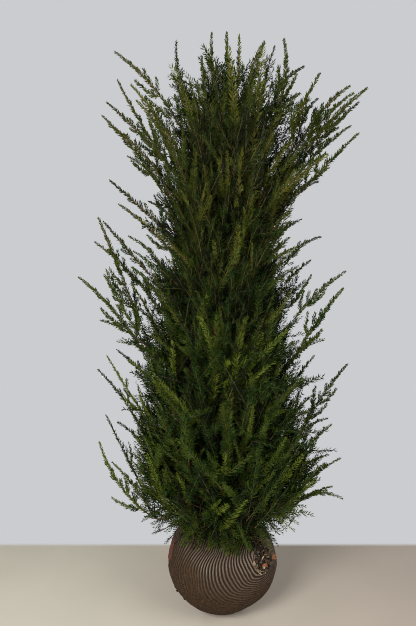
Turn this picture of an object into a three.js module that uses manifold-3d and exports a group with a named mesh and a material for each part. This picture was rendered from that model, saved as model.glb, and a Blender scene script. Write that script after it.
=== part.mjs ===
// English yew, a young column-shaped specimen lifted from the nursery field and standing on its wrapped root ball.
// Millimetres, +Z up. The origin is the middle of the root ball's flat underside.
// +X is the plant's right side, +Y its back, so azimuth 0 is right, 90 back, 180 left and 270 front.
import * as THREE from "three";
import { mergeVertices } from "three/addons/utils/BufferGeometryUtils.js";
import Module from "manifold-3d";

const wasm = await Module();
wasm.setup();

// ---- driving dimensions ----
const BALL_RADIUS = 228; // root ball, at its middle
const BALL_MIDDLE = 204; // height of that middle above the underside
const BALL_TOP = 425; // flat top, where the trunk comes out
const BALL_BELOW = 214; // half height below the middle, if the ball weren't cut flat
const BALL_ABOVE = 231; // and above it
const BALL_POWER = 1.86; // 2 would make the section an ellipse
const BALL_SIDES = 22;
const BALL_UNEVEN = 0.014; // share of the radius by which the ball swells and dents
const NECK_INNER = 38; // wrap gathered round the trunk's foot
const NECK_OUTER = 58;
const NECK_HEIGHT = 26;
const GATHER_AZIMUTH = 318; // where the wrap's end is bunched, on the right front shoulder of the ball
const GATHER_ELEVATION = 22;
const GATHER_RADIUS = 44;
const GATHER_HEIGHT = 20;

const TRUNK_PATH = [
  [0, 0, 410],
  [-6, 4, 900],
  [6, -5, 1450],
  [26, 3, 2090],
];
const TRUNK_FOOT = 35; // radius of the root flare
const TRUNK_RADIUS = 24; // radius just above the flare
const TRUNK_TIP = 3.5;
const TRUNK_SIDES = 10;

const BOUGH_RADIUS = 11;
const BOUGH_TIP = 6.5;
const BOUGH_DROP = 100; // how far below its foliage a bough leaves the trunk
const BOUGH_SIDES = 5;

const PLUME_SIDES = 5;
const PLUME_RADIUS = 40; // half the width of a leafy plume at its widest
const PLUME_TIP = 12;
const HEART_SIDES = 7;
const HEART_UNEVEN = 0.16;
const GAP = 6; // clearance between neighbouring masses of foliage
const SMOOTH = 3; // detail smaller than this is left out of a mass

// The foliage, tier by tier from the ball up. Each tier gives the [distance out, height] where its masses start and where
// their leafy hearts end, the half width of a heart across and outwards, the rise of a plume for each millimetre it reaches out,
// and the reach and height of the tips of the plumes that fill it.
// Each mass is its name, azimuth, number of filling plumes, and the long plumes that stand out from it as [azimuth, out, height].
const TIERS = [
  {
    name: "skirt",
    foot: [128, 476],
    head: [205, 680],
    across: 130,
    deep: 84,
    slope: 0.6,
    out: [340, 420],
    height: [402, 720],
    masses: [
      ["left", 198, 3, [[190, 498, 758], [204, 336, 469], [222, 400, 640]]],
      ["front", 270, 7, []],
      ["right", 342, 3, [[350, 478, 693], [334, 445, 754], [346, 494, 537], [336, 330, 440]]],
      ["back_right", 54, 6, []],
      ["back_left", 126, 6, []],
    ],
  },
  {
    name: "lower",
    foot: [132, 640],
    head: [200, 1010],
    across: 132,
    deep: 90,
    slope: 1.35,
    out: [330, 420],
    height: [820, 1120],
    masses: [
      ["left", 162, 2, [[150, 531, 1063], [165, 548, 1000], [178, 473, 1081], [160, 540, 781], [174, 441, 792]]],
      ["front_left", 234, 5, []],
      ["front_right", 306, 5, []],
      ["right", 18, 2, [[12, 539, 1033], [30, 477, 1035], [5, 460, 791], [22, 507, 765]]],
      ["back", 90, 6, []],
    ],
  },
  {
    name: "middle",
    foot: [128, 940],
    head: [180, 1310],
    across: 126,
    deep: 86,
    slope: 1.5,
    out: [300, 400],
    height: [1120, 1450],
    masses: [
      ["left", 198, 2, [[188, 555, 1422], [200, 465, 1435], [206, 495, 1276], [196, 420, 1180]]],
      ["front", 270, 6, []],
      ["right", 342, 2, [[352, 472, 1443], [338, 473, 1386], [330, 404, 1212], [346, 400, 1180]]],
      ["back_right", 54, 5, []],
      ["back_left", 126, 5, []],
    ],
  },
  {
    name: "upper",
    foot: [118, 1230],
    head: [150, 1610],
    across: 114,
    deep: 80,
    slope: 1.7,
    out: [240, 340],
    height: [1420, 1790],
    masses: [
      ["left", 162, 2, [[165, 472, 1792], [155, 470, 1700], [178, 487, 1646], [170, 526, 1548]]],
      ["front_left", 234, 6, []],
      ["front_right", 306, 6, []],
      ["right", 18, 3, [[30, 399, 1639], [10, 405, 1569]]],
      ["back", 90, 6, []],
    ],
  },
  {
    name: "top",
    foot: [108, 1520],
    head: [165, 1960],
    across: 108,
    deep: 78,
    slope: 1.75,
    out: [200, 320],
    height: [1820, 2150],
    masses: [
      ["left", 184, 1, [[176, 409, 2267], [190, 394, 2144], [172, 452, 2087], [186, 454, 2024], [198, 431, 1979]]],
      ["front_left", 238, 4, [[220, 392, 2098], [226, 399, 2037]]],
      ["front_right", 300, 4, [[318, 412, 2125], [320, 452, 1858]]],
      ["right", 356, 1, [[8, 491, 2150], [354, 530, 2119], [14, 559, 2100], [2, 490, 1994], [346, 501, 1946]]],
      ["back_right", 56, 4, [[32, 410, 2230], [38, 262, 2320], [36, 461, 1796]]],
      ["back_left", 120, 4, [[145, 215, 2328], [138, 279, 2222], [112, 380, 2020]]],
    ],
  },
];
// The middle of the top, round the leading shoot.
const CENTRE = {
  name: "top_centre",
  foot: [0, 1740],
  head: [0, 2150],
  across: 84,
  deep: 76,
  plumes: [[120, 52, 2326], [300, 22, 2319], [20, 75, 2320], [200, 96, 2234], [330, 167, 2272], [240, 120, 2210], [90, 150, 2180]],
};

const BARK = { color: 0x5c4231, roughness: 0.85, metalness: 0 };
const NEEDLES = { color: 0x2f4a1c, roughness: 0.6, metalness: 0 };
const WRAP = { color: 0x6b5a47, roughness: 0.95, metalness: 0 };

// ---- helpers ----
// A small seeded generator, so that the uneven plumes are the same on every run.
function seeded(seed) {
  let a = seed >>> 0;
  return () => {
    a = (a + 0x6d2b79f5) >>> 0;
    let t = a;
    t = Math.imul(t ^ (t >>> 15), t | 1);
    t ^= t + Math.imul(t ^ (t >>> 7), t | 61);
    return ((t ^ (t >>> 14)) >>> 0) / 4294967296;
  };
}
const { degToRad, lerp, clamp } = THREE.MathUtils;
const polar = (azimuth, out, z) =>
  new THREE.Vector3(
    out * Math.cos(degToRad(azimuth)),
    out * Math.sin(degToRad(azimuth)),
    z,
  );

// Closes a geometry up, moves each of its points with the given function, and makes it a solid.
function solidOf(geometry, move = () => {}) {
  const bare = new THREE.BufferGeometry()
    .setAttribute("position", geometry.getAttribute("position"))
    .setIndex(geometry.index);
  const merged = mergeVertices(bare, 1e-3);
  const points = merged.getAttribute("position");
  const p = new THREE.Vector3();
  for (let i = 0; i < points.count; i++) {
    p.fromBufferAttribute(points, i);
    move(p);
    points.setXYZ(i, p.x, p.y, p.z);
  }
  const index = merged.index.array;
  const tri = [];
  for (let i = 0; i < index.length; i += 3) {
    const [a, b, c] = [index[i], index[i + 1], index[i + 2]];
    if (a !== b && b !== c && a !== c) tri.push(a, b, c);
  }
  const make = () =>
    new wasm.Manifold(
      new wasm.Mesh({
        numProp: 3,
        vertProperties: new Float32Array(points.array),
        triVerts: new Uint32Array(tri),
      }),
    );
  const solid = make();
  if (solid.volume() > 0) return solid;
  for (let i = 0; i < tri.length; i += 3)
    [tri[i + 1], tri[i + 2]] = [tri[i + 2], tri[i + 1]];
  return make();
}

function geometryOf(solid) {
  const m = solid.getMesh();
  const v = new Float32Array(m.numVert * 3);
  for (let i = 0; i < m.numVert; i++)
    v.set(m.vertProperties.subarray(i * m.numProp, i * m.numProp + 3), i * 3);
  const g = new THREE.BufferGeometry()
    .setAttribute("position", new THREE.BufferAttribute(v, 3))
    .setIndex(new THREE.BufferAttribute(new Uint32Array(m.triVerts), 1));
  g.computeVertexNormals();
  return g;
}

// The biggest body of a solid, with the slivers that a cut leaves dropped.
const largest = (solid) =>
  solid.decompose().reduce((a, b) => (b.volume() > a.volume() ? b : a));

// A limb along a curve. The profile is [share of the curve's length, radius], and starts and ends on the axis.
// A grown limb is the same one made thicker and longer by that much all round.
// Across and deep stretch its section, which faces outwards from the plant's middle.
function limb(
  curve,
  profile,
  sides,
  { turn = 0, grow = 0, across = 1, deep = 1, uneven = 0, seed = 1 } = {},
) {
  const STEP = 1000;
  const lathe = new THREE.LatheGeometry(
    profile.map(([t, r]) => new THREE.Vector2(r, t * STEP)),
    sides,
  );
  const outwards = curve.getPointAt(1).setZ(0).sub(curve.getPointAt(0).setZ(0));
  if (outwards.length() < 5) outwards.set(0.31, 0.95, 0);
  outwards.normalize();
  const random = seeded(seed);
  return solidOf(lathe, (p) => {
    const t = clamp(p.y / STEP, 0, 1);
    const r = Math.hypot(p.x, p.z);
    const at = curve.getPointAt(t);
    const ahead = curve.getTangentAt(t);
    const side = new THREE.Vector3().crossVectors(outwards, ahead).normalize();
    const up = new THREE.Vector3().crossVectors(ahead, side);
    at.addScaledVector(ahead, t <= 0 ? -grow : t >= 1 ? grow : 0);
    if (r > 1e-6) {
      const a = Math.atan2(p.z, p.x) + turn;
      const swell = 1 + uneven * (2 * random() - 1);
      at.addScaledVector(side, (r * across * swell + grow) * Math.cos(a));
      at.addScaledVector(up, (r * deep * swell + grow) * Math.sin(a));
    }
    p.copy(at);
  });
}

// ---- trunk ----
const trunkLine = new THREE.CatmullRomCurve3(
  TRUNK_PATH.map((p) => new THREE.Vector3(...p)),
);
function trunkAt(z) {
  let low = 0,
    high = 1;
  for (let i = 0; i < 30; i++) {
    const t = (low + high) / 2;
    if (trunkLine.getPointAt(t).z < z) low = t;
    else high = t;
  }
  return trunkLine.getPointAt(low);
}
function trunkSolid(grow) {
  const profile = [
    [0, 0],
    [0, TRUNK_FOOT + 2],
    [0.011, TRUNK_FOOT - 1],
    [0.026, TRUNK_RADIUS + 5],
    [0.05, TRUNK_RADIUS],
  ];
  const steps = 9;
  for (let i = 1; i <= steps; i++)
    profile.push([
      0.05 + (0.945 * i) / steps,
      lerp(TRUNK_RADIUS, TRUNK_TIP, Math.pow(i / steps, 0.85)),
    ]);
  profile.push([1, 0]);
  // cut flat where the trunk meets the ball
  return limb(trunkLine, profile, TRUNK_SIDES, { grow }).trimByPlane(
    [0, 0, 1],
    BALL_TOP + 0.4 - grow,
  );
}

// ---- foliage ----
// The line of a plume or bough: it climbs steeply out of the plant and arches outwards to its tip.
function arching(foot, tip, arch) {
  const bend = foot.clone().lerp(tip, 0.5);
  bend.z += tip.distanceTo(foot) * arch;
  bend.x -= (tip.x - foot.x) * arch;
  bend.y -= (tip.y - foot.y) * arch;
  return new THREE.QuadraticBezierCurve3(foot, bend, tip);
}

// Works out a mass's heart line and its plumes from its row.
function layOut(tier, [name, azimuth, fill, long], half, seed) {
  const random = seeded(seed);
  const axis = trunkAt(tier.foot[1]).setZ(0);
  const onLine = (az, f) =>
    polar(
      az,
      lerp(tier.foot[0], tier.head[0], f),
      lerp(tier.foot[1], tier.head[1], f),
    ).add(axis);
  const plumes = [];
  const add = (az, r, z, width) => {
    const off = ((((az - azimuth) % 360) + 540) % 360) - 180;
    const rise = tier.head[1] - tier.foot[1];
    const run = tier.head[0] - tier.foot[0];
    const f =
      (z - tier.foot[1] - tier.slope * (r - tier.foot[0])) /
      (rise - tier.slope * run);
    plumes.push({
      foot: onLine(azimuth + off * 0.6, clamp(f, 0.1, 0.85)),
      tip: polar(azimuth + off, r, z),
      arch: 0.07 + 0.07 * random(),
      width,
      turn: 6.28 * random(),
    });
  };
  long.forEach(([az, r, z]) => add(az, r, z, PLUME_RADIUS * 0.9));
  for (let i = 0; i < fill; i++) {
    const side =
      fill > 1 ? (2 * i) / (fill - 1) - 1 : 0.2 - 0.4 * random();
    const level = (i * 0.618 + 0.2 * random() + 0.1) % 1;
    add(
      azimuth + (half - 8) * (side * 0.85 + 0.15 * (2 * random() - 1)),
      lerp(...tier.out, 0.55 * (1 - level) + 0.45 * random()),
      lerp(...tier.height, level),
      PLUME_RADIUS * (0.95 + 0.15 * random()),
    );
  }
  return {
    name: tier.name + "_" + name,
    heart: new THREE.LineCurve3(onLine(azimuth, 0), onLine(azimuth, 1)),
    across: tier.across,
    deep: tier.deep,
    plumes,
    axis,
    azimuth,
    tier,
    seed,
  };
}

function massSolid(mass, grow) {
  const parts = [
    limb(
      mass.heart,
      [
        [0, 0],
        [0.03, 0.62],
        [0.45, 1],
        [0.97, 0.55],
        [1, 0],
      ],
      HEART_SIDES,
      {
        grow,
        across: mass.across,
        deep: mass.deep,
        uneven: HEART_UNEVEN,
        seed: mass.seed + 1000,
      },
    ),
  ];
  mass.plumes.forEach((p) =>
    parts.push(
      limb(
        arching(p.foot, p.tip, p.arch),
        [
          [0, 0],
          [0.4, p.width],
          [0.965, PLUME_TIP],
          [1, 0],
        ],
        PLUME_SIDES,
        { turn: p.turn, grow },
      ),
    ),
  );
  let solid = parts.reduce((a, b) => a.add(b));
  // flat faces towards the neighbours in its tier
  (mass.borders || []).forEach((azimuth) => {
    const n = polar(azimuth, 1, 0);
    solid = solid.trimByPlane(
      [n.x, n.y, 0],
      n.dot(mass.axis) + GAP / 2 - grow,
    );
  });
  return solid;
}

const masses = [];
TIERS.forEach((tier, t) => {
  const count = tier.masses.length;
  const turnOf = (i) => tier.masses[(i + count) % count][1];
  const between = (a, b) => ((((b - a) % 360) + 360) % 360) / 2;
  tier.masses.forEach((row, i) => {
    const toNext = between(turnOf(i), turnOf(i + 1));
    const toLast = between(turnOf(i - 1), turnOf(i));
    const mass = layOut(tier, row, Math.min(toNext, toLast), 101 + 10 * t + i);
    mass.borders = [row[1] + toNext - 90, row[1] - toLast + 90];
    masses.push(mass);
  });
});
{
  const axis = trunkAt(CENTRE.foot[1]).setZ(0);
  const tall = CENTRE.head[1] - CENTRE.foot[1];
  const random = seeded(99);
  masses.push({
    name: CENTRE.name,
    heart: new THREE.LineCurve3(
      axis.clone().setZ(CENTRE.foot[1]),
      axis.clone().setZ(CENTRE.head[1]),
    ),
    across: CENTRE.across,
    deep: CENTRE.deep,
    seed: 99,
    plumes: CENTRE.plumes.map(([az, r, z]) => ({
      foot: polar(az, 18, CENTRE.foot[1] + tall * (0.25 + 0.3 * random())).add(
        axis,
      ),
      tip: polar(az, r, z),
      arch: 0.03,
      width: PLUME_RADIUS * 0.85,
      turn: 6.28 * random(),
    })),
  });
}

// ---- root ball ----
function ballSolid(grow) {
  const profile = [new THREE.Vector2(0, 0)];
  const rings = 10;
  const add = (z) => {
    const h = z < BALL_MIDDLE ? BALL_BELOW : BALL_ABOVE;
    const t = Math.abs(z - BALL_MIDDLE) / h;
    const r = BALL_RADIUS * Math.pow(1 - Math.pow(t, BALL_POWER), 1 / BALL_POWER);
    profile.push(new THREE.Vector2(r + grow, z));
  };
  // closer rings towards the underside and the top, where the ball rounds over
  for (let i = 0; i <= rings; i++)
    add((BALL_TOP / 2) * (1 - Math.cos((Math.PI * (i + 0.35)) / (rings + 0.7))) * 1.0);
  profile[1].y = 0;
  profile[profile.length - 1].y = BALL_TOP;
  profile.push(new THREE.Vector2(0, BALL_TOP));
  const g = new THREE.LatheGeometry(profile, BALL_SIDES);
  g.rotateX(Math.PI / 2);
  return solidOf(g, (p) => {
    const az = Math.atan2(p.y, p.x);
    const h = p.z / BALL_TOP;
    const swell =
      1 +
      BALL_UNEVEN *
        (0.9 * Math.cos(2 * az + 0.7) +
          0.7 * Math.sin(3 * az + 5 * h) +
          0.5 * Math.cos(5 * az - 3 * h + 1.1)) *
        Math.sin(Math.PI * clamp(h, 0, 1));
    p.set(p.x * swell, p.y * swell, p.z);
  });
}

// ---- assembly ----
const group = new THREE.Group();
function place(name, solid, finish) {
  const mesh = new THREE.Mesh(
    geometryOf(solid),
    new THREE.MeshStandardMaterial(finish),
  );
  mesh.name = name;
  group.add(mesh);
}

place("root_ball", ballSolid(0), WRAP);

// the wrap's neck, a soft collar lying on the ball round the trunk's foot
function ring(inner, outer, low, high) {
  const profile = [
    [inner, low],
    [outer, low],
    [lerp(outer, inner, 0.25), lerp(low, high, 0.55)],
    [lerp(outer, inner, 0.6), high],
    [inner, lerp(low, high, 0.9)],
    [inner, low],
  ].map(([r, z]) => new THREE.Vector2(r, z));
  const g = new THREE.LatheGeometry(profile, 18);
  g.rotateX(Math.PI / 2);
  return solidOf(g);
}
place(
  "wrap_neck",
  ring(NECK_INNER, NECK_OUTER, BALL_TOP + 0.4, BALL_TOP + NECK_HEIGHT),
  WRAP,
);

// the wrap's end, bunched and knotted on the ball's shoulder
{
  const out = polar(
    GATHER_AZIMUTH,
    Math.cos(degToRad(GATHER_ELEVATION)),
    Math.sin(degToRad(GATHER_ELEVATION)),
  );
  const from = out.clone().multiplyScalar(BALL_RADIUS - 28);
  const to = out.clone().multiplyScalar(BALL_RADIUS + GATHER_HEIGHT);
  from.z += BALL_MIDDLE;
  to.z += BALL_MIDDLE;
  const tuft = limb(
    new THREE.LineCurve3(from, to),
    [
      [0, 0],
      [0, GATHER_RADIUS],
      [0.6, GATHER_RADIUS * 0.95],
      [0.84, GATHER_RADIUS * 0.62],
      [1, 0],
    ],
    10,
    { uneven: 0.12, seed: 7 },
  );
  place("wrap_gather", largest(tuft.subtract(ballSolid(0.5))), WRAP);
}

place("trunk", trunkSolid(0), BARK);

// Each mass is cut clear of the trunk, the ball and the masses before it in the list.
const roundBall = ballSolid(GAP).add(
  ring(NECK_INNER - GAP, NECK_OUTER + 2 * GAP, BALL_TOP - 9, BALL_TOP + NECK_HEIGHT + GAP),
);
const roundTrunk = trunkSolid(GAP + 14);
const grownMasses = [];
const overlaps = (a, b) => {
  const [p, q] = [a.boundingBox(), b.boundingBox()];
  return [0, 1, 2].every((k) => p.min[k] < q.max[k] && q.min[k] < p.max[k]);
};
const clearOf = (solid, others) =>
  others.reduce((s, o) => (overlaps(s, o) ? s.subtract(o) : s), solid);
masses.forEach((mass) => {
  const around = mass.tier ? roundTrunk : trunkSolid(GAP);
  const solid = clearOf(massSolid(mass, 0).simplify(SMOOTH), [
    around,
    roundBall,
    ...grownMasses,
  ]);
  place("foliage_" + mass.name, largest(largest(solid).simplify(SMOOTH * 0.6)), NEEDLES);
  grownMasses.push(massSolid(mass, GAP).simplify(0.5));
});

// Each side mass hangs on one bough, which leaves the trunk a little below it and ends where it enters the foliage.
const thinTrunk = trunkSolid(0.4);
const thinBall = ballSolid(0.5).add(
  ring(NECK_INNER - 2, NECK_OUTER + 2, BALL_TOP - 2, BALL_TOP + NECK_HEIGHT + 2),
);
const grownBoughs = [];
masses.forEach((mass) => {
  if (!mass.tier) return;
  const [footOut, footZ] = mass.tier.foot;
  const low = Math.max(footZ - BOUGH_DROP, BALL_TOP + NECK_HEIGHT + 16);
  const start = trunkAt(low);
  const end = polar(mass.azimuth, footOut, footZ + 70).add(mass.axis);
  const line = arching(start, end, 0.08);
  const thick = BOUGH_RADIUS * lerp(1.1, 0.72, (footZ - 462) / 1100);
  const profile = [
    [0, 0],
    [0, thick * 1.35],
    [0.3, thick],
    [1, BOUGH_TIP],
    [1, 0],
  ];
  const solid = clearOf(limb(line, profile, BOUGH_SIDES), [
    thinTrunk,
    thinBall,
    ...grownMasses,
    ...grownBoughs,
  ]);
  // the part of it next to the trunk
  const away = (s) => {
    const { min, max } = s.boundingBox();
    return start.distanceTo(
      new THREE.Vector3(...[0, 1, 2].map((k) => (min[k] + max[k]) / 2)),
    );
  };
  const piece = solid
    .decompose()
    .filter((s) => s.volume() > 400)
    .sort((a, b) => away(a) - away(b))[0];
  if (!piece) return;
  place("bough_" + mass.name, largest(piece.simplify(0.15)), BARK);
  grownBoughs.push(limb(line, profile, BOUGH_SIDES, { grow: 1.5 }));
});

export default group;
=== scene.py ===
import math

import bpy
import numpy as np
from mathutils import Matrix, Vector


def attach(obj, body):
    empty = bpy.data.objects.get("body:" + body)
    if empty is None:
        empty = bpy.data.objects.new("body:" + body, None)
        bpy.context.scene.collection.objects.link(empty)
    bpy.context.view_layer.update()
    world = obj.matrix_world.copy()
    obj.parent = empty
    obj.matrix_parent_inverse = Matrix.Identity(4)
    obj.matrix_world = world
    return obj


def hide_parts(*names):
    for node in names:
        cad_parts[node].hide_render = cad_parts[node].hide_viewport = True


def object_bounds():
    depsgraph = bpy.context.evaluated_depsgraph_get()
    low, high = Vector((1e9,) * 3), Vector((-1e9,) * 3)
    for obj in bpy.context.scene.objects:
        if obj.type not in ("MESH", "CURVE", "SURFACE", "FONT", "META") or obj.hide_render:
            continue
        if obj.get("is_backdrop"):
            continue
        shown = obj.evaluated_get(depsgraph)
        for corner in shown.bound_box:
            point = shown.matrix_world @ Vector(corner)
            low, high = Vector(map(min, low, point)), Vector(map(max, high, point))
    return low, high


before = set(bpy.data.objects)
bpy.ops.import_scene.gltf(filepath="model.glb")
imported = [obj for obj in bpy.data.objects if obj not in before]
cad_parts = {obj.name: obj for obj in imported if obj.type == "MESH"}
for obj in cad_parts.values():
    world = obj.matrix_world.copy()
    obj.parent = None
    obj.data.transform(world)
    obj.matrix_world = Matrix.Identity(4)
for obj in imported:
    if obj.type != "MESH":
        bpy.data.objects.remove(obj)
cad_low, cad_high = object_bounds()

MM = 0.001
rng = np.random.RandomState(7411)

# ------------------------------------------------------------------ the plan that the CAD solids follow, in millimetres
BALL_RADIUS, BALL_MIDDLE, BALL_TOP = 228.0, 204.0, 425.0
BALL_BELOW, BALL_ABOVE, BALL_POWER = 214.0, 231.0, 1.86
BALL_UNEVEN = 0.014
GATHER_AZIMUTH, GATHER_ELEVATION = 318.0, 22.0
TRUNK_PATH = [(0, 0, 410), (-6, 4, 900), (6, -5, 1450), (26, 3, 2090)]
TRUNK_FOOT, TRUNK_RADIUS, TRUNK_TIP = 35.0, 24.0, 3.5
BOUGH_RADIUS, BOUGH_DROP, NECK_HEIGHT = 11.0, 100.0, 26.0
TIERS = [
    dict(name="skirt", foot=(128, 476), head=(205, 680), across=130, deep=84, slope=0.6, out=(340, 420), height=(402, 720), masses=[
        ("left", 198, 3, [(190, 498, 758), (204, 336, 469), (222, 400, 640)]),
        ("front", 270, 7, []),
        ("right", 342, 3, [(350, 478, 693), (334, 445, 754), (346, 494, 537), (336, 330, 440)]),
        ("back_right", 54, 6, []),
        ("back_left", 126, 6, []),
    ]),
    dict(name="lower", foot=(132, 640), head=(200, 1010), across=132, deep=90, slope=1.35, out=(330, 420), height=(820, 1120), masses=[
        ("left", 162, 2, [(150, 531, 1063), (165, 548, 1000), (178, 473, 1081), (160, 540, 781), (174, 441, 792)]),
        ("front_left", 234, 5, []),
        ("front_right", 306, 5, []),
        ("right", 18, 2, [(12, 539, 1033), (30, 477, 1035), (5, 460, 791), (22, 507, 765)]),
        ("back", 90, 6, []),
    ]),
    dict(name="middle", foot=(128, 940), head=(180, 1310), across=126, deep=86, slope=1.5, out=(300, 400), height=(1120, 1450), masses=[
        ("left", 198, 2, [(188, 555, 1422), (200, 465, 1435), (206, 495, 1276), (196, 420, 1180)]),
        ("front", 270, 6, []),
        ("right", 342, 2, [(352, 472, 1443), (338, 473, 1386), (330, 404, 1212), (346, 400, 1180)]),
        ("back_right", 54, 5, []),
        ("back_left", 126, 5, []),
    ]),
    dict(name="upper", foot=(118, 1230), head=(150, 1610), across=114, deep=80, slope=1.7, out=(240, 340), height=(1420, 1790), masses=[
        ("left", 162, 2, [(165, 472, 1792), (155, 470, 1700), (178, 487, 1646), (170, 526, 1548)]),
        ("front_left", 234, 6, []),
        ("front_right", 306, 6, []),
        ("right", 18, 3, [(30, 399, 1639), (10, 405, 1569)]),
        ("back", 90, 6, []),
    ]),
    dict(name="top", foot=(108, 1520), head=(165, 1960), across=108, deep=78, slope=1.75, out=(200, 320), height=(1820, 2150), masses=[
        ("left", 184, 1, [(176, 409, 2267), (190, 394, 2144), (172, 452, 2087), (186, 454, 2024), (198, 431, 1979)]),
        ("front_left", 238, 4, [(220, 392, 2098), (226, 399, 2037)]),
        ("front_right", 300, 4, [(318, 412, 2125), (320, 452, 1858)]),
        ("right", 356, 1, [(8, 491, 2150), (354, 530, 2119), (14, 559, 2100), (2, 490, 1994), (346, 501, 1946)]),
        ("back_right", 56, 4, [(32, 410, 2230), (38, 262, 2320), (36, 461, 1796)]),
        ("back_left", 120, 4, [(145, 215, 2328), (138, 279, 2222), (112, 380, 2020)]),
    ]),
]
CENTRE = dict(foot=1740, head=2150, across=84, deep=76, plumes=[
    (120, 52, 2326), (300, 22, 2319), (20, 75, 2320), (200, 96, 2234), (330, 167, 2272), (240, 120, 2210), (90, 150, 2180)])


def seeded(seed):
    """The same small generator as the CAD source, so that every plume has the same line here."""
    a = [seed & 0xFFFFFFFF]

    def imul(x, y):
        return (x * y) & 0xFFFFFFFF

    def step():
        a[0] = (a[0] + 0x6D2B79F5) & 0xFFFFFFFF
        t = a[0]
        t = imul(t ^ (t >> 15), t | 1)
        t ^= (t + imul(t ^ (t >> 7), t | 61)) & 0xFFFFFFFF
        return ((t ^ (t >> 14)) & 0xFFFFFFFF) / 4294967296

    return step


def polar(az, out, z):
    return np.array([out * math.cos(math.radians(az)), out * math.sin(math.radians(az)), z], float)


def lerp(a, b, t):
    return a + (b - a) * t


def clamp(x, a, b):
    return min(max(x, a), b)


def unit(v):
    n = np.linalg.norm(v, axis=-1, keepdims=True)
    return v / np.maximum(n, 1e-12)


def trunk_samples():
    """The trunk's line: a centripetal Catmull-Rom curve through the path's points."""
    p = [np.array(q, float) for q in TRUNK_PATH]
    p = [2 * p[0] - p[1]] + p + [2 * p[-1] - p[-2]]
    out = []
    for i in range(1, len(p) - 2):
        x0, x1, x2, x3 = p[i - 1], p[i], p[i + 1], p[i + 2]
        d0, d1, d2 = (max(np.linalg.norm(b - a) ** 0.5, 1e-4) for a, b in ((x0, x1), (x1, x2), (x2, x3)))
        t1 = ((x1 - x0) / d0 - (x2 - x0) / (d0 + d1) + (x2 - x1) / d1) * d1
        t2 = ((x2 - x1) / d1 - (x3 - x1) / (d1 + d2) + (x3 - x2) / d2) * d1
        for t in np.linspace(0, 1, 60, endpoint=i == len(p) - 3):
            out.append(x1 + t1 * t + (-3 * x1 + 3 * x2 - 2 * t1 - t2) * t * t + (2 * x1 - 2 * x2 + t1 + t2) * t**3)
    return np.array(out)


TRUNK_LINE = trunk_samples()


def trunk_at(z):
    return np.array([np.interp(z, TRUNK_LINE[:, 2], TRUNK_LINE[:, 0]), np.interp(z, TRUNK_LINE[:, 2], TRUNK_LINE[:, 1]), z])


def arching(foot, tip, arch):
    bend = (foot + tip) / 2
    bend[2] += np.linalg.norm(tip - foot) * arch
    bend[0] -= (tip[0] - foot[0]) * arch
    bend[1] -= (tip[1] - foot[1]) * arch
    return foot, bend, tip


def bezier(c, t):
    t = np.asarray(t, float)[:, None]
    return (1 - t) ** 2 * c[0] + 2 * t * (1 - t) * c[1] + t * t * c[2]


def bezier_ahead(c, t):
    t = np.asarray(t, float)[:, None]
    return unit(2 * (1 - t) * (c[1] - c[0]) + 2 * t * (c[2] - c[1]))


def lay_out(tier, row, half, seed):
    name, azimuth, fill, long = row
    random = seeded(seed)
    axis = trunk_at(tier["foot"][1])
    axis[2] = 0

    def on_line(az, f):
        return polar(az, lerp(tier["foot"][0], tier["head"][0], f), lerp(tier["foot"][1], tier["head"][1], f)) + axis

    plumes = []

    def plume_at(az, r, z, is_long=True):
        off = (((az - azimuth) % 360) + 540) % 360 - 180
        rise = tier["head"][1] - tier["foot"][1]
        run = tier["head"][0] - tier["foot"][0]
        f = (z - tier["foot"][1] - tier["slope"] * (r - tier["foot"][0])) / (rise - tier["slope"] * run)
        f = clamp(f, 0.1, 0.85)
        foot = on_line(azimuth + off * 0.6, f)
        tip = polar(azimuth + off, r, z)
        arch = 0.07 + 0.07 * random()
        random()
        return dict(curve=arching(foot, tip, arch), f=f, long=is_long, az=azimuth + off)

    for az, r, z in long:
        plumes.append(plume_at(az, r, z))
    for i in range(fill):
        side = (2 * i) / (fill - 1) - 1 if fill > 1 else 0.2 - 0.4 * random()
        level = (i * 0.618 + 0.2 * random() + 0.1) % 1
        az = azimuth + (half - 8) * (side * 0.85 + 0.15 * (2 * random() - 1))
        r = lerp(tier["out"][0], tier["out"][1], 0.55 * (1 - level) + 0.45 * random())
        z = lerp(tier["height"][0], tier["height"][1], level)
        random()
        plumes.append(plume_at(az, r, z, False))
    return dict(name=tier["name"] + "_" + name, tier=tier, azimuth=azimuth, half=half, axis=axis, plumes=plumes, plume_at=plume_at,
                heart=(on_line(azimuth, 0), on_line(azimuth, 1)), across=tier["across"], deep=tier["deep"])


MASSES = []
for t, tier in enumerate(TIERS):
    turn = [m[1] for m in tier["masses"]]
    n = len(turn)
    for i, row in enumerate(tier["masses"]):
        to_next = ((turn[(i + 1) % n] - turn[i]) % 360) / 2
        to_last = ((turn[i] - turn[i - 1]) % 360) / 2
        MASSES.append(lay_out(tier, row, min(to_next, to_last), 101 + 10 * t + i))
_axis = trunk_at(CENTRE["foot"])
_axis[2] = 0
_random = seeded(99)
_plumes = []
for az, r, z in CENTRE["plumes"]:
    foot = polar(az, 18, CENTRE["foot"] + (CENTRE["head"] - CENTRE["foot"]) * (0.25 + 0.3 * _random())) + _axis
    _random()
    _plumes.append(dict(curve=arching(foot, polar(az, r, z), 0.03), f=0.3, long=True, az=az))
MASSES.append(dict(name="top_centre", tier=None, azimuth=270, half=180, axis=_axis, plumes=_plumes, across=CENTRE["across"], deep=CENTRE["deep"],
                   heart=(_axis + (0, 0, CENTRE["foot"]), _axis + (0, 0, CENTRE["head"]))))

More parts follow.
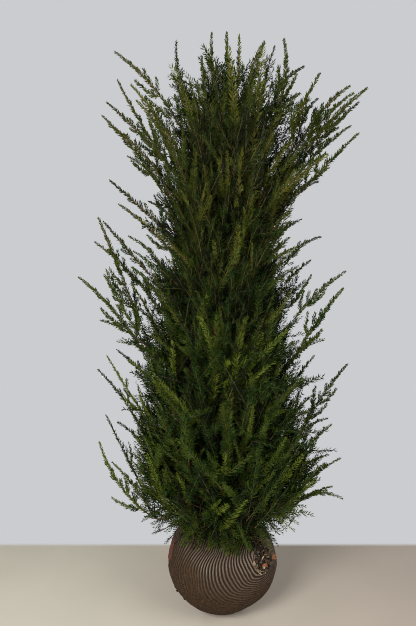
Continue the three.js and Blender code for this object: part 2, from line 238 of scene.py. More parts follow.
# Shoots that stand out at the crown's edge: foot, bend and tip of each. They take the place of the CAD plumes whose tips they share.
OUTLINE = {
    "skirt_left": [
        ((-299, -48, 431), (-442, -67, 558), (-492, -86, 760)),
        ((-299, -28, 452), (-362, -39, 569), (-446, -50, 661)),
    ],
    "lower_left": [
        ((-354, 102, 500), (-431, 143, 640), (-508, 185, 781)),
        ((-322, 25, 676), (-358, 36, 757), (-434, 46, 798)),
        ((-331, 78, 736), (-406, 110, 884), (-530, 142, 1000)),
        ((-298, 9, 804), (-386, 13, 944), (-467, 17, 1087)),
        ((-300, 146, 945), (-375, 206, 1006), (-463, 265, 1060)),
    ],
    "middle_left": [
        ((-341, -119, 1199), (-392, -168, 1251), (-449, -217, 1278)),
        ((-328, -42, 1140), (-418, -60, 1304), (-553, -77, 1420)),
        ((-318, -87, 1185), (-385, -123, 1312), (-442, -159, 1437)),
        ((-220, 44, 1316), (-250, 62, 1447), (-358, 80, 1510)),
        ((-230, -55, 1298), (-265, -78, 1400), (-344, -100, 1460)),
        ((-256, -33, 1207), (-299, -46, 1303), (-353, -60, 1389)),
        ((-253, 28, 1162), (-277, 39, 1236), (-335, 50, 1278)),
    ],
    "upper_left": [
        ((-332, 9, 1214), (-406, 13, 1436), (-488, 17, 1644)),
        ((-270, 50, 1291), (-368, 71, 1448), (-517, 91, 1546)),
        ((-291, 33, 1419), (-382, 46, 1525), (-475, 60, 1629)),
        ((-190, 109, 1482), (-291, 154, 1610), (-431, 199, 1700)),
        ((-225, 0, 1394), (-254, 0, 1522), (-368, 0, 1573)),
        ((-178, 55, 1614), (-222, 78, 1682), (-296, 100, 1710)),
        ((-216, 67, 1580), (-331, 95, 1693), (-456, 122, 1795)),
    ],
    "top_left": [
        ((-133, 16, 1931), (-231, 22, 2141), (-410, 29, 2268)),
        ((-180, -38, 1806), (-303, -53, 1968), (-389, -68, 2145)),
        ((-168, 35, 1793), (-296, 49, 1961), (-450, 63, 2088)),
        ((-202, -26, 1713), (-314, -37, 1888), (-451, -47, 2023)),
        ((-238, -73, 1798), (-306, -103, 1913), (-415, -133, 1977)),
        ((-238, 22, 1746), (-280, 31, 1840), (-371, 40, 1883)),
    ],
    "top_front_left": [
        ((-142, -138, 1845), (-216, -194, 1991), (-318, -250, 2094)),
        ((-198, -110, 1893), (-237, -155, 1988), (-306, -200, 2050)),
        ((-51, -55, 2015), (-76, -78, 2119), (-80, -100, 2221)),
    ],
    "top_right": [
        ((303, -30, 1889), (402, -43, 2025), (529, -55, 2119)),
        ((319, 38, 1964), (386, 53, 2080), (491, 68, 2150)),
        ((313, -33, 1930), (377, -46, 2037), (477, -60, 2101)),
        ((319, 74, 1873), (422, 105, 1996), (544, 135, 2102)),
        ((280, 9, 1799), (368, 13, 1914), (488, 17, 1993)),
        ((282, -67, 1732), (383, -94, 1846), (487, -121, 1948)),
        ((180, 16, 1999), (265, 23, 2155), (230, 30, 2313)),
    ],
    "top_back_right": [
        ((253, 149, 1686), (308, 210, 1777), (413, 271, 1797)),
        ((205, 119, 2094), (234, 168, 2204), (334, 217, 2256)),
        ((303, 88, 1982), (320, 124, 2066), (383, 160, 2119)),
        ((197, 110, 2016), (232, 155, 2106), (319, 200, 2148)),
        ((98, 55, 2053), (113, 78, 2191), (161, 100, 2321)),
        ((136, 99, 2068), (165, 140, 2155), (184, 180, 2247)),
    ],
    "top_front_right": [
        ((241, -152, 1889), (253, -214, 2024), (317, -276, 2124)),
        ((76, -55, 2025), (94, -78, 2105), (101, -100, 2185)),
    ],
    "top_back_left": [
        ((-109, 68, 2078), (-197, 95, 2196), (-182, 123, 2331)),
    ],
    "top_centre": [
        ((-35, 0, 2088), (-47, 0, 2209), (-44, 0, 2328)),
        ((25, -11, 2079), (14, -16, 2202), (11, -20, 2322)),
        ((42, 16, 2069), (65, 23, 2197), (59, 30, 2326)),
    ],
    "upper_right": [
        ((247, 39, 1455), (300, 55, 1547), (396, 70, 1569)),
        ((172, -11, 1451), (219, -16, 1507), (287, -20, 1531)),
        ((158, -66, 1463), (193, -93, 1526), (242, -120, 1573)),
        ((187, -28, 1546), (217, -39, 1593), (257, -50, 1631)),
        ((205, 110, 1527), (248, 155, 1604), (333, 199, 1637)),
    ],
    "middle_right": [
        ((277, -36, 1244), (359, -51, 1363), (470, -66, 1441)),
        ((298, -97, 1145), (360, -137, 1278), (440, -177, 1388)),
        ((253, 77, 1370), (302, 109, 1426), (368, 140, 1468)),
        ((274, 66, 1280), (327, 93, 1340), (371, 120, 1408)),
        ((271, -111, 1103), (304, -157, 1167), (349, -202, 1214)),
    ],
    "lower_right": [
        ((286, 131, 914), (345, 185, 978), (412, 238, 1039)),
        ((335, 62, 742), (414, 87, 903), (530, 112, 1030)),
        ((299, -28, 872), (327, -39, 919), (369, -50, 949)),
        ((338, 104, 717), (388, 147, 766), (468, 190, 766)),
        ((311, 22, 633), (371, 31, 728), (458, 40, 791)),
    ],
    "skirt_right": [
        ((309, -107, 662), (351, -151, 718), (401, -195, 753)),
        ((280, -46, 496), (359, -64, 620), (472, -83, 693)),
        ((316, -28, 479), (375, -39, 533), (447, -50, 558)),
        ((278, -66, 463), (360, -93, 596), (477, -120, 539)),
        ((329, -66, 567), (363, -93, 629), (402, -120, 684)),
        ((295, -55, 514), (327, -78, 562), (367, -100, 598)),
    ],
}
for m in MASSES:
    lines = [tuple(np.array(q, float) for q in line) for line in OUTLINE.get(m["name"], [])]
    m["outline"] = lines
    m["plumes"] = [p for p in m["plumes"] if not (p["long"] and any(np.linalg.norm(p["curve"][2] - q[2]) < 60 for q in lines))]

# everything below is in metres
# Shoots that stand in front of the crown: foot, a point on the way and tip of each, its width in steps of 4 mm, and how bright it is.
FRONT = [
    ((72, -114, 1712), (114, -146, 1994), (140, -103, 2257), 10, 1),
    ((37, -128, 1802), (35, -152, 2035), (13, -138, 2241), 11, 1),
    ((-117, -97, 1876), (-135, -93, 2055), (-193, -74, 2195), 9, 1),
    ((141, -88, 1967), (191, -49, 2080), (231, -48, 2162), 7, 0),
    ((1, -118, 1892), (-58, -143, 2047), (-141, -118, 2161), 8, 1),
    ((130, -119, 1803), (166, -144, 1942), (215, -107, 2042), 8, 1),
    ((41, -110, 1925), (20, -172, 1956), (-2, -196, 1984), 4, 1),
    ((-18, -127, 1834), (-47, -190, 1889), (-79, -204, 1932), 4.5, 1),
    ((-148, -92, 1713), (-200, -77, 1816), (-256, -69, 1897), 6, 1),
    ((-122, -97, 1676), (-108, -188, 1781), (-104, -206, 1884), 8, 1),
    ((11, -114, 1690), (11, -213, 1797), (8, -238, 1874), 5, 1),
    ((98, -106, 1702), (183, -178, 1789), (256, -180, 1869), 7, 1),
    ((-6, -118, 1712), (-12, -213, 1780), (-20, -242, 1846), 6, 1),
    ((-39, -117, 1712), (-46, -209, 1780), (-48, -237, 1837), 5, 1),
    ((144, -94, 1691), (214, -161, 1761), (284, -164, 1835), 7, 1),
    ((-141, -91, 1683), (-220, -62, 1777), (-284, -62, 1832), 6, 1),
    ((-111, -99, 1527), (-91, -169, 1639), (-65, -213, 1762), 6, 1),
    ((54, -106, 1620), (43, -186, 1693), (62, -225, 1758), 6, 1),
    ((-88, -101, 1609), (-116, -162, 1668), (-158, -187, 1746), 5.5, 1),
    ((-69, -104, 1583), (-58, -179, 1657), (-47, -215, 1724), 5, 1),
    ((89, -100, 1587), (151, -145, 1661), (214, -163, 1722), 7, 1),
    ((74, -108, 1471), (70, -172, 1567), (75, -201, 1665), 5.5, 1),
    ((-58, -116, 1396), (-177, -128, 1528), (-309, -100, 1643), 5, 1),
    ((124, -94, 1511), (195, -89, 1583), (253, -76, 1631), 5, 1),
    ((40, -128, 1340), (44, -181, 1502), (53, -206, 1618), 8, 1),
    ((-149, -92, 1481), (-151, -144, 1544), (-149, -166, 1596), 5, 1),
    ((-24, -124, 1366), (-29, -185, 1488), (-38, -209, 1562), 6.5, 2),
    ((78, -133, 1283), (97, -175, 1439), (101, -195, 1554), 4.5, 1),
    ((101, -105, 1436), (183, -113, 1494), (257, -90, 1522), 4.5, 1),
    ((67, -119, 1369), (70, -183, 1440), (72, -206, 1504), 4.5, 1),
    ((-134, -140, 1204), (-216, -145, 1342), (-292, -110, 1482), 6, 1),
    ((-103, -129, 1302), (-124, -179, 1384), (-146, -196, 1452), 5, 1),
    ((148, -107, 1337), (175, -136, 1398), (226, -109, 1433), 5, 1),
    ((148, -126, 1236), (205, -151, 1298), (257, -115, 1376), 6, 1),
    ((10, -153, 1172), (-7, -235, 1263), (-19, -257, 1336), 5.5, 1),
    ((-56, -172, 922), (-43, -253, 1167), (-88, -269, 1298), 8, 2),
    ((18, -178, 865), (44, -255, 1130), (74, -272, 1288), 7, 2),
    ((-12, -173, 970), (140, -227, 1150), (232, -215, 1241), 6, 2),
    ((-150, -146, 1080), (-206, -208, 1172), (-271, -211, 1225), 5, 1),
    ((-88, -155, 1083), (-135, -237, 1159), (-173, -260, 1201), 5, 1),
    ((87, -168, 980), (125, -244, 1082), (185, -258, 1131), 7, 2),
    ((-20, -179, 817), (-161, -260, 973), (-258, -258, 1090), 5.5, 1),
    ((-104, -173, 823), (-221, -233, 999), (-282, -233, 1087), 5.5, 1),
    ((103, -171, 866), (209, -235, 981), (295, -211, 1066), 5.5, 1),
    ((58, -178, 744), (95, -282, 882), (103, -314, 986), 5, 1),
    ((-182, -161, 758), (-214, -241, 887), (-233, -266, 971), 5.5, 1),
    ((24, -179, 602), (137, -278, 830), (154, -305, 943), 7, 1),
    ((78, -176, 650), (59, -294, 771), (35, -329, 861), 5, 1),
    ((137, -169, 606), (187, -263, 767), (227, -285, 852), 5.5, 1),
    ((176, -162, 652), (230, -244, 759), (283, -255, 849), 6, 1),
    ((-23, -179, 610), (-40, -295, 760), (-62, -331, 821), 5, 1),
    ((-108, -173, 649), (-180, -266, 760), (-234, -288, 815), 5, 1),
    ((-293, -96, 478), (-315, -198, 651), (-323, -217, 780), 6, 1),
    ((-209, -135, 476), (-254, -238, 669), (-285, -256, 776), 7, 1),
    ((194, -157, 554), (251, -235, 696), (296, -250, 773), 7.5, 2),
    ((-137, -154, 473), (-147, -278, 656), (-173, -309, 728), 5, 2),
    ((79, -176, 559), (142, -279, 671), (183, -308, 727), 5.5, 1),
    ((-46, -178, 548), (-95, -289, 661), (-142, -320, 721), 4, 1),
    ((148, -149, 462), (151, -276, 583), (169, -309, 650), 6.5, 1),
    ((-90, -162, 477), (-43, -295, 585), (-11, -333, 634), 5, 1),
]
TRUNK_LINE = TRUNK_LINE * MM
for m in MASSES:
    m["axis"] = m["axis"] * MM
    m["heart"] = tuple(p * MM for p in m["heart"])
    m["across"] *= MM
    m["deep"] *= MM
    for p in m["plumes"]:
        p["curve"] = tuple(q * MM for q in p["curve"])
    m["outline"] = [tuple(q * MM for q in line) for line in m["outline"]]


# ------------------------------------------------------------------ materials
for m in MASSES:
    m["front"] = []
for f, b, t, wide, bright in FRONT:
    f, b, t = (np.array(p) * MM for p in (f, b, t))
    az = math.degrees(math.atan2(t[1], t[0]))

    def strangeness(m):
        mid = (m["heart"][0][2] + m["heart"][1][2]) / 2
        return abs(t[2] - 0.1 - mid) + (abs((az - m["azimuth"] + 180) % 360 - 180) / 110 if m["tier"] else 0.35)

    min(MASSES, key=strangeness)["front"].append((f, b, t, wide, bright))


def srgb(r, g, b):
    def f(c):
        c /= 255
        return c / 12.92 if c <= 0.04045 else ((c + 0.055) / 1.055) ** 2.4

    return (f(r), f(g), f(b), 1.0)


def new_material(name):
    m = bpy.data.materials.new(name)
    m.use_nodes = True
    tree = m.node_tree
    tree.nodes.clear()
    out = tree.nodes.new("ShaderNodeOutputMaterial")
    bsdf = tree.nodes.new("ShaderNodeBsdfPrincipled")
    tree.links.new(bsdf.outputs[0], out.inputs[0])
    return m, tree, bsdf


def needle_material(name, colour, roughness=0.5):
    m, tree, bsdf = new_material(name)
    bsdf.inputs["Base Color"].default_value = colour
    bsdf.inputs["Roughness"].default_value = roughness
    bsdf.inputs["Specular IOR Level"].default_value = 0.13
    return m


def ramp(tree, stops):
    r = tree.nodes.new("ShaderNodeValToRGB")
    e = r.color_ramp.elements
    while len(e) < len(stops):
        e.new(0.5)
    for k, (pos, col) in enumerate(stops):
        e[k].position = pos
        e[k].color = col
    return r


def noise(tree, scale, detail=4, rough=0.55, stretch=None):
    coord = tree.nodes.new("ShaderNodeTexCoord")
    n = tree.nodes.new("ShaderNodeTexNoise")
    n.inputs["Scale"].default_value = scale
    n.inputs["Detail"].default_value = detail
    n.inputs["Roughness"].default_value = rough
    if stretch:
        mp = tree.nodes.new("ShaderNodeMapping")
        mp.inputs["Scale"].default_value = stretch
        tree.links.new(coord.outputs["Object"], mp.inputs["Vector"])
        tree.links.new(mp.outputs[0], n.inputs["Vector"])
    else:
        tree.links.new(coord.outputs["Object"], n.inputs["Vector"])
    return n


def bark_material(name, dark, mid, light, scale=70):
    m, tree, bsdf = new_material(name)
    n1 = noise(tree, scale, 6, 0.6, (1, 1, 0.28))
    r = ramp(tree, [(0.3, dark), (0.5, mid), (0.72, light)])
    tree.links.new(n1.outputs["Fac"], r.inputs[0])
    tree.links.new(r.outputs[0], bsdf.inputs["Base Color"])
    n2 = noise(tree, scale * 4, 4, 0.6, (1, 1, 0.4))
    bump = tree.nodes.new("ShaderNodeBump")
    bump.inputs["Strength"].default_value = 0.5
    bump.inputs["Distance"].default_value = 0.002
    tree.links.new(n2.outputs["Fac"], bump.inputs["Height"])
    tree.links.new(bump.outputs[0], bsdf.inputs["Normal"])
    bsdf.inputs["Roughness"].default_value = 0.85
    return m


NEEDLE_MATS = [
    needle_material("needles_deep", srgb(10, 19, 5)),
    needle_material("needles_mid", srgb(26, 47, 10)),
    needle_material("needles_olive", srgb(53, 69, 15)),
    needle_material("needles_fresh", srgb(84, 98, 25)),
    needle_material("needles_brown", srgb(74, 44, 24), 0.6),
    needle_material("needles_high_deep", srgb(13, 19, 4)),
    needle_material("needles_high_mid", srgb(30, 45, 9)),
    needle_material("needles_high_olive", srgb(55, 64, 13)),
    needle_material("needles_high_fresh", srgb(80, 86, 22)),
]
DEEP, MID, OLIVE, FRESH, BROWN = range(5)
HIGH = {DEEP: 5, MID: 6, OLIVE: 7, FRESH: 8}  # the same in the warmer tones of the crown's upper half and its lowest fringe
TWIG_GREEN = bark_material("twig_young", srgb(48, 54, 20), srgb(72, 72, 27), srgb(104, 86, 38), 90)
TWIG_RUST = bark_material("twig_rust", srgb(66, 44, 22), srgb(98, 68, 33), srgb(124, 92, 50), 90)
TWIG_BROWN = bark_material("twig_old", srgb(44, 31, 21), srgb(70, 50, 33), srgb(98, 76, 54), 90)
BARK = bark_material("yew_bark", srgb(46, 32, 22), srgb(88, 60, 42), srgb(128, 98, 76), 60)


def cloth_material():
    """Ribbed jute: threads on the ribs, with painted light on the ridges and painted shade dark in the grooves, and
    soil where the ball was dragged.
    """
    m, tree, bsdf = new_material("jute_wrap")
    N, L = tree.nodes, tree.links
    rib = N.new("ShaderNodeAttribute")
    rib.attribute_name = "rib"
    soil = N.new("ShaderNodeAttribute")
    soil.attribute_name = "soil"
    fibre = noise(tree, 420, 3, 0.7)
    patch = noise(tree, 11, 5, 0.6)
    # painted shade and painted highlight: the rib mask runs this ramp from near black in the grooves to pale on the
    # ridges, mixed with fibre noise
    thread = ramp(tree, [(0.0, srgb(21, 16, 13)), (0.35, srgb(49, 40, 34)), (0.75, srgb(99, 87, 75)), (1.0, srgb(140, 126, 109))])
    add = N.new("ShaderNodeMath")
    add.operation = "MULTIPLY_ADD"
    L.new(fibre.outputs["Fac"], add.inputs[0])
    add.inputs[1].default_value = 0.6
    L.new(rib.outputs["Fac"], add.inputs[2])
    sub = N.new("ShaderNodeMath")
    sub.operation = "SUBTRACT"
    L.new(add.outputs[0], sub.inputs[0])
    sub.inputs[1].default_value = 0.36
    L.new(sub.outputs[0], thread.inputs[0])
    dirt = ramp(tree, [(0.32, srgb(37, 26, 17)), (0.5, srgb(62, 46, 32)), (0.68, srgb(84, 65, 47))])
    grain = noise(tree, 95, 6, 0.72)
    L.new(grain.outputs["Fac"], dirt.inputs[0])
    amount = N.new("ShaderNodeMath")
    amount.operation = "ADD"
    L.new(soil.outputs["Fac"], amount.inputs[0])
    shift = N.new("ShaderNodeMath")
    shift.operation = "MULTIPLY_ADD"
    L.new(patch.outputs["Fac"], shift.inputs[0])
    shift.inputs[1].default_value = 0.9
    shift.inputs[2].default_value = -0.45
    L.new(shift.outputs[0], amount.inputs[1])
    amount.use_clamp = True
    mix = N.new("ShaderNodeMix")
    mix.data_type = "RGBA"
    L.new(amount.outputs[0], mix.inputs[0])
    L.new(thread.outputs[0], mix.inputs[6])
    L.new(dirt.outputs[0], mix.inputs[7])
    L.new(mix.outputs[2], bsdf.inputs["Base Color"])
    bump = N.new("ShaderNodeBump")
    bump.inputs["Strength"].default_value = 0.55
    bump.inputs["Distance"].default_value = 0.0015
    L.new(fibre.outputs["Fac"], bump.inputs["Height"])
    L.new(bump.outputs[0], bsdf.inputs["Normal"])
    bsdf.inputs["Roughness"].default_value = 0.95
    bsdf.inputs["Specular IOR Level"].default_value = 0.12
    return m


JUTE = cloth_material()


# ------------------------------------------------------------------ mesh helpers
def make_mesh(name, verts, faces, mats, index=None, smooth=False, attrs=None):
    """One mesh object from arrays. Faces are rows of 3 or 4 vertex numbers."""
    me = bpy.data.meshes.new(name)
    verts = np.ascontiguousarray(verts, np.float32)
    faces = np.ascontiguousarray(faces, np.int32)
    k = faces.shape[1]
    me.vertices.add(len(verts))
    me.vertices.foreach_set("co", verts.ravel())
    me.loops.add(len(faces) * k)
    me.loops.foreach_set("vertex_index", faces.ravel())
    me.polygons.add(len(faces))
    me.polygons.foreach_set("loop_start", np.arange(0, len(faces) * k, k, dtype=np.int32))
    for mat in mats:
        me.materials.append(mat)
    if index is not None:
        me.polygons.foreach_set("material_index", np.ascontiguousarray(index, np.int32))
    me.update(calc_edges=True)
    me.polygons.foreach_set("use_smooth", np.full(len(faces), smooth, bool))
    for key, values in (attrs or {}).items():
        a = me.attributes.new(key, "FLOAT", "POINT")
        a.data.foreach_set("value", np.ascontiguousarray(values, np.float32))
    me.validate()
    o = bpy.data.objects.new(name, me)
    bpy.context.scene.collection.objects.link(o)
    return o


def frames_along(points, ref):
    """Tangent, side and up at each point of a polyline."""
    ahead = np.empty_like(points)
    ahead[1:-1] = points[2:] - points[:-2]
    ahead[0] = points[1] - points[0]
    ahead[-1] = points[-1] - points[-2]
    ahead = unit(ahead)
    side = np.cross(ahead, ref)
    weak = np.linalg.norm(side, axis=1) < 0.15
    if weak.any():
        side[weak] = np.cross(ahead[weak], np.array([0.3, 0.9, 0.1]))
    side = unit(side)
    return ahead, side, np.cross(side, ahead)


class Stems:
    """Collects tapering twigs, each a bent cone, and joins them into one mesh."""

    def __init__(self):
        self.rows = {}

    def add(self, curve, r0, r1, sides, rings, mat):
        self.rows.setdefault((sides, rings), []).append((*curve[0], *curve[1], *curve[2], r0, r1, mat))

    def arrays(self):
        verts, faces, mats, count = [], [], [], 0
        for (sides, rings), rows in sorted(self.rows.items()):
            A = np.array(rows)
            n = len(A)
            p0, p1, p2 = A[:, None, 0:3], A[:, None, 3:6], A[:, None, 6:9]
            u = np.linspace(0, 1, rings + 1)[None, :-1, None]
            at = (1 - u) ** 2 * p0 + 2 * u * (1 - u) * p1 + u * u * p2
            t = unit(2 * (1 - u) * (p1 - p0) + 2 * u * (p2 - p1))
            side = unit(np.cross(t, np.array([0.31, 0.2, 0.93])) + 1e-6)
            up = np.cross(side, t)
            r = A[:, 9][:, None] + (A[:, 10] - A[:, 9])[:, None] * u[:, :, 0]
            a = np.linspace(0, 2 * np.pi, sides, endpoint=False)
            ring = at[:, :, None] + r[..., None, None] * (side[:, :, None] * np.cos(a)[:, None] + up[:, :, None] * np.sin(a)[:, None])
            per = rings * sides + 1
            v = np.concatenate([ring.reshape(n, -1, 3), A[:, None, 6:9]], 1).reshape(-1, 3)
            i = np.arange(rings - 1)[:, None] * sides
            j = np.arange(sides)[None, :]
            j2 = (j + 1) % sides
            q = np.stack([(i + j).ravel(), (i + j2).ravel(), (i + sides + j2).ravel(), (i + sides + j).ravel()], 1)
            last = (rings - 1) * sides
            s = np.arange(sides)
            f = np.concatenate([q[:, [0, 1, 2]], q[:, [0, 2, 3]], np.stack([last + s, last + (s + 1) % sides, np.full(sides, per - 1)], 1)])
            f = (f[None] + (np.arange(n) * per)[:, None, None]).reshape(-1, 3)
            verts.append(v)
            faces.append(f + count)
            mats.append(np.repeat(A[:, 11].astype(np.int32), len(f) // n))
            count += len(v)
        return np.concatenate(verts), np.concatenate(faces), np.concatenate(mats)


def ball_radius(d):
    """Distance from the ball's middle to its surface along the unit vectors d."""
    flat = np.hypot(d[..., 0], d[..., 1])
    b = np.where(d[..., 2] < 0, BALL_BELOW, BALL_ABOVE) * MM
    r = ((flat / (BALL_RADIUS * MM)) ** BALL_POWER + (np.abs(d[..., 2]) / b) ** BALL_POWER) ** (-1 / BALL_POWER)
    z = BALL_MIDDLE * MM + r * d[..., 2]
    h = np.clip(z / (BALL_TOP * MM), 0, 1)
    az = np.arctan2(d[..., 1], d[..., 0])
    swell = 1 + BALL_UNEVEN * (0.9 * np.cos(2 * az + 0.7) + 0.7 * np.sin(3 * az + 5 * h) + 0.5 * np.cos(5 * az - 3 * h + 1.1)) * np.sin(np.pi * h)
    r = r * swell
    down = np.where(d[..., 2] < -1e-6, -BALL_MIDDLE * MM / np.minimum(d[..., 2], -1e-6), 9.0)
    top = np.where(d[..., 2] > 1e-6, (BALL_TOP - BALL_MIDDLE) * MM / np.maximum(d[..., 2], 1e-6), 9.0)
    return np.minimum(np.minimum(r, down), top)


def inside_ball(p, spare=0.0):
    q = p - np.array([0, 0, BALL_MIDDLE * MM])
    dist = np.linalg.norm(q, axis=-1)
    return dist < ball_radius(unit(q)) + spare


class Needles:
    """Collects needled lengths of shoot, then lays all their needles. Each needle is a lens of two faces folded along its midrib."""

    def __init__(self):
        self.rows = []

    def add(self, curve, u0, u1, length, normal, mat, size=1.0, spacing=0.0021, rank=72.0, loose=26.0, lean=47.0, wide=1.0):
        if rng.normal(curve[2][2], 0.2) > 1.55 or (curve[2][2] < 0.47 and rng.rand() < 0.55):
            mat = HIGH.get(mat, mat)
        self.rows.append((*curve[0], *curve[1], *curve[2], u0, u1, length, *normal, mat, size, spacing, rank, loose, lean, wide))

    def arrays(self):
        A = np.array(self.rows)
        n = np.maximum(4, (A[:, 11] * (A[:, 10] - A[:, 9]) / A[:, 17]).astype(int))
        of = np.repeat(np.arange(len(A)), n)
        k = np.arange(len(of)) - (np.cumsum(n) - n)[of]
        B = A[of]
        u = B[:, 9] + (B[:, 10] - B[:, 9]) * (k + 0.5 + rng.uniform(-0.4, 0.4, len(of))) / n[of]
        u = np.clip(u, 0, 1)
        p0, p1, p2, uu = B[:, 0:3], B[:, 3:6], B[:, 6:9], u[:, None]
        base = (1 - uu) ** 2 * p0 + 2 * uu * (1 - uu) * p1 + uu * uu * p2
        t = unit(2 * (1 - uu) * (p1 - p0) + 2 * uu * (p2 - p1))
        normal = B[:, 12:15]
        normal = normal - t * (normal * t).sum(1, keepdims=True)
        normal = unit(normal + 1e-5)
        side = np.cross(t, normal)
        m = len(of)
        a = np.where(k % 2 == 0, 1, -1) * np.radians(B[:, 18] + B[:, 19] * rng.normal(0, 1, m))
        rho = normal * np.cos(a)[:, None] + side * np.sin(a)[:, None]
        to_tip = (1 - u) * B[:, 11]
        lean = np.radians(B[:, 20] + rng.normal(0, 11, m)) * np.clip(0.5 + to_tip / 0.014, 0.5, 1)
        d = unit(t * np.cos(lean)[:, None] + rho * np.sin(lean)[:, None] + np.array([0, 0, 0.06]))
        blade = normal * 0.8 + t * 0.55 + rng.normal(0, 0.45, (m, 3))
        w = unit(np.cross(blade, d) + 1e-6)
        size = B[:, 16]
        main = B[:, 11] > 0.16  # a leading shoot narrows to its tip over a longer way than a side twig
        ln = np.where(main, 0.0108 + 0.0086 * np.clip(to_tip / 0.12, 0, 1), 0.0132 + 0.0058 * np.clip(to_tip / 0.06, 0, 1))
        ln = size * ln * rng.uniform(0.82, 1.16, m)
        half = 0.00165 * size * B[:, 21] * rng.uniform(0.85, 1.15, m)
        keep = ~inside_ball(base + d * ln[:, None], 0.004) & ~inside_ball(base, 0.002)
        base, d, w, ln, half, mat = (x[keep] for x in (base, d, w, ln, half, B[:, 15].astype(np.int32)))
        up = np.cross(w, d)
        mid = base + d * (0.42 * ln)[:, None] + up * (0.3 * half)[:, None]
        tip = base + d * ln[:, None] - up * (0.06 * ln)[:, None]
        v = np.stack([base, mid + w * half[:, None], tip, mid - w * half[:, None]], 1).reshape(-1, 3)
        i = np.arange(len(base))[:, None] * 4
        f = np.concatenate([i + [0, 1, 2], i + [0, 2, 3]], 1).reshape(-1, 3)
        return v, f, np.repeat(mat, 2)


# ------------------------------------------------------------------ growing the foliage
HALF_WIDTH = np.array([  # height, then the dense crown's half width to the left and to the right
    (0.32, 0.18, 0.20), (0.385, 0.24, 0.29), (0.45, 0.305, 0.315), (0.52, 0.35, 0.355), (0.60, 0.38, 0.385), (0.68, 0.385, 0.385), (0.78, 0.37, 0.375),
    (0.90, 0.345, 0.345), (1.0, 0.345, 0.34), (1.1, 0.32, 0.285), (1.2, 0.32, 0.265), (1.3, 0.28, 0.245), (1.4, 0.24, 0.215), (1.5, 0.225, 0.205),
    (1.6, 0.215, 0.20), (1.7, 0.21, 0.23), (1.75, 0.215, 0.285), (1.85, 0.165, 0.33), (1.95, 0.145, 0.30), (2.03, 0.145, 0.24), (2.1, 0.16, 0.17), (2.2, 0.13, 0.12), (2.3, 0.05, 0.05)])


def crown_radius(az, z):
    left = np.interp(z, HALF_WIDTH[:, 0], HALF_WIDTH[:, 1])
    right = np.interp(z, HALF_WIDTH[:, 0], HALF_WIDTH[:, 2])
    return left + (right - left) * (0.5 + 0.5 * math.cos(math.radians(az)))


UP = np.array([0, 0, 1.0])


def vunit(v):
    return v / math.sqrt(v[0] * v[0] + v[1] * v[1] + v[2] * v[2] + 1e-18)


def square_to(t, n):
    n = n - t * float(n @ t)
    k = math.sqrt(float(n @ n))
    if k < 0.1:
        n = np.array([0.9, -0.3, 0.1]) - t * (0.9 * t[0] - 0.3 * t[1] + 0.1 * t[2])
        k = math.sqrt(float(n @ n))
    return n / k


def point_on(c, u):
    return (1 - u) ** 2 * c[0] + 2 * u * (1 - u) * c[1] + u * u * c[2]


def ahead_on(c, u):
    return vunit((1 - u) * (c[1] - c[0]) + u * (c[2] - c[1]))


def part_of(c, a, b):
    """The piece of the curve from a to b."""
    p, q = point_on(c, a), point_on(c, b)
    return p, p + (b - a) * ((1 - a) * (c[1] - c[0]) + a * (c[2] - c[1])), q


def length_of(c):
    pts = bezier(c, np.linspace(0, 1, 7))
    return float(np.linalg.norm(np.diff(pts, axis=0), axis=1).sum())


def across(t):
    """A random direction square to t."""
    return square_to(t, rng.normal(size=3))


def clothe(stems, needles, c, leafy, normal, tones, thick=0.0022, bare=0.06, gap=0.025, reach=0.07, branch_from=None, size=1.0, spacing=0.0021, lift=0.35, flat=0.0,
           ratio=0.42, loose=38.0, wide=1.0, lean=47.0, green_at=0.0017):
    """Needles, side twigs and side branches on the last part of a shoot."""
    length = length_of(c)
    leafy = min(leafy, 0.97 * length)
    green = max(0.0, 1 - 0.24 / length)
    if green > 0.05:
        stems.add(part_of(c, 0, green + 0.02), thick, 0.0016, 4, 4, 1)
        high = c[2][2] > 1.45
        stems.add(part_of(c, green, 1), green_at * (1.15 if high else 1.0), green_at * 0.6, 3, 4, 2 if high else 0)
    else:
        stems.add(c, thick, 0.0009, 3, 3, 0)
    needles.add(c, 1 - leafy / length, 1.0, length, normal, tones[0], size, spacing, rank=78, loose=loose, lean=lean, wide=wide)
    s = bare + rng.uniform(0, gap)
    k = rng.randint(2)
    phase = rng.uniform(0, 6.28)
    while s < leafy:
        u = 1 - s / length
        t = ahead_on(c, u)
        n = square_to(t, normal)
        if rng.rand() < flat:
            a = (1 if k % 2 else -1) * rng.normal(1.45, 0.3)
        else:
            a = phase + k * 2.39996 + rng.normal(0, 0.25)
        rho = n * math.cos(a) + np.cross(t, n) * math.sin(a)
        rho = vunit(rho + lift * square_to(t, UP)) if abs(t[2]) < 0.97 else rho
        th = math.radians(rng.uniform(33, 50))
        d = t * math.cos(th) + rho * math.sin(th)
        p = point_on(c, u)
        if branch_from is not None and s > branch_from and rng.rand() < 0.75:
            ln = clamp(0.42 * s, 0.07, 0.17) * rng.uniform(0.75, 1.2)
            c2 = (p, p + d * ln * 0.45, p + vunit(d + t * 0.5 + UP * 0.2) * ln)
            pick = rng.rand()
            tones2 = tones if pick < 0.55 else (tones[1], tones[2], tones[2])
            clothe(stems, needles, c2, ln * 0.93, vunit(n * 0.6 + rho * 0.3 + UP * 0.2), tones2, thick=0.0014, bare=0.022, gap=0.021, reach=0.045, size=size, spacing=spacing, lift=lift, flat=flat, ratio=ratio, wide=wide, lean=lean)
            s += gap * 1.5 * rng.uniform(0.75, 1.25)
        else:
            ln = clamp(ratio * (s - bare * 0.75), 0.012, reach) * rng.uniform(0.65, 1.2)
            c2 = (p, p + d * ln * 0.5, p + vunit(d + t * 0.45 + UP * 0.15) * ln)
            stems.add(c2, 0.0010, 0.0006, 3, 1, 0)
            needles.add(c2, 0.08, 1.0, ln * 1.02, vunit(n * 0.7 + UP * 0.35), tones[1] if rng.rand() < 0.65 else tones[2], size, spacing, lean=lean, wide=wide)
            s += gap * rng.uniform(0.7, 1.3)
        k += 1


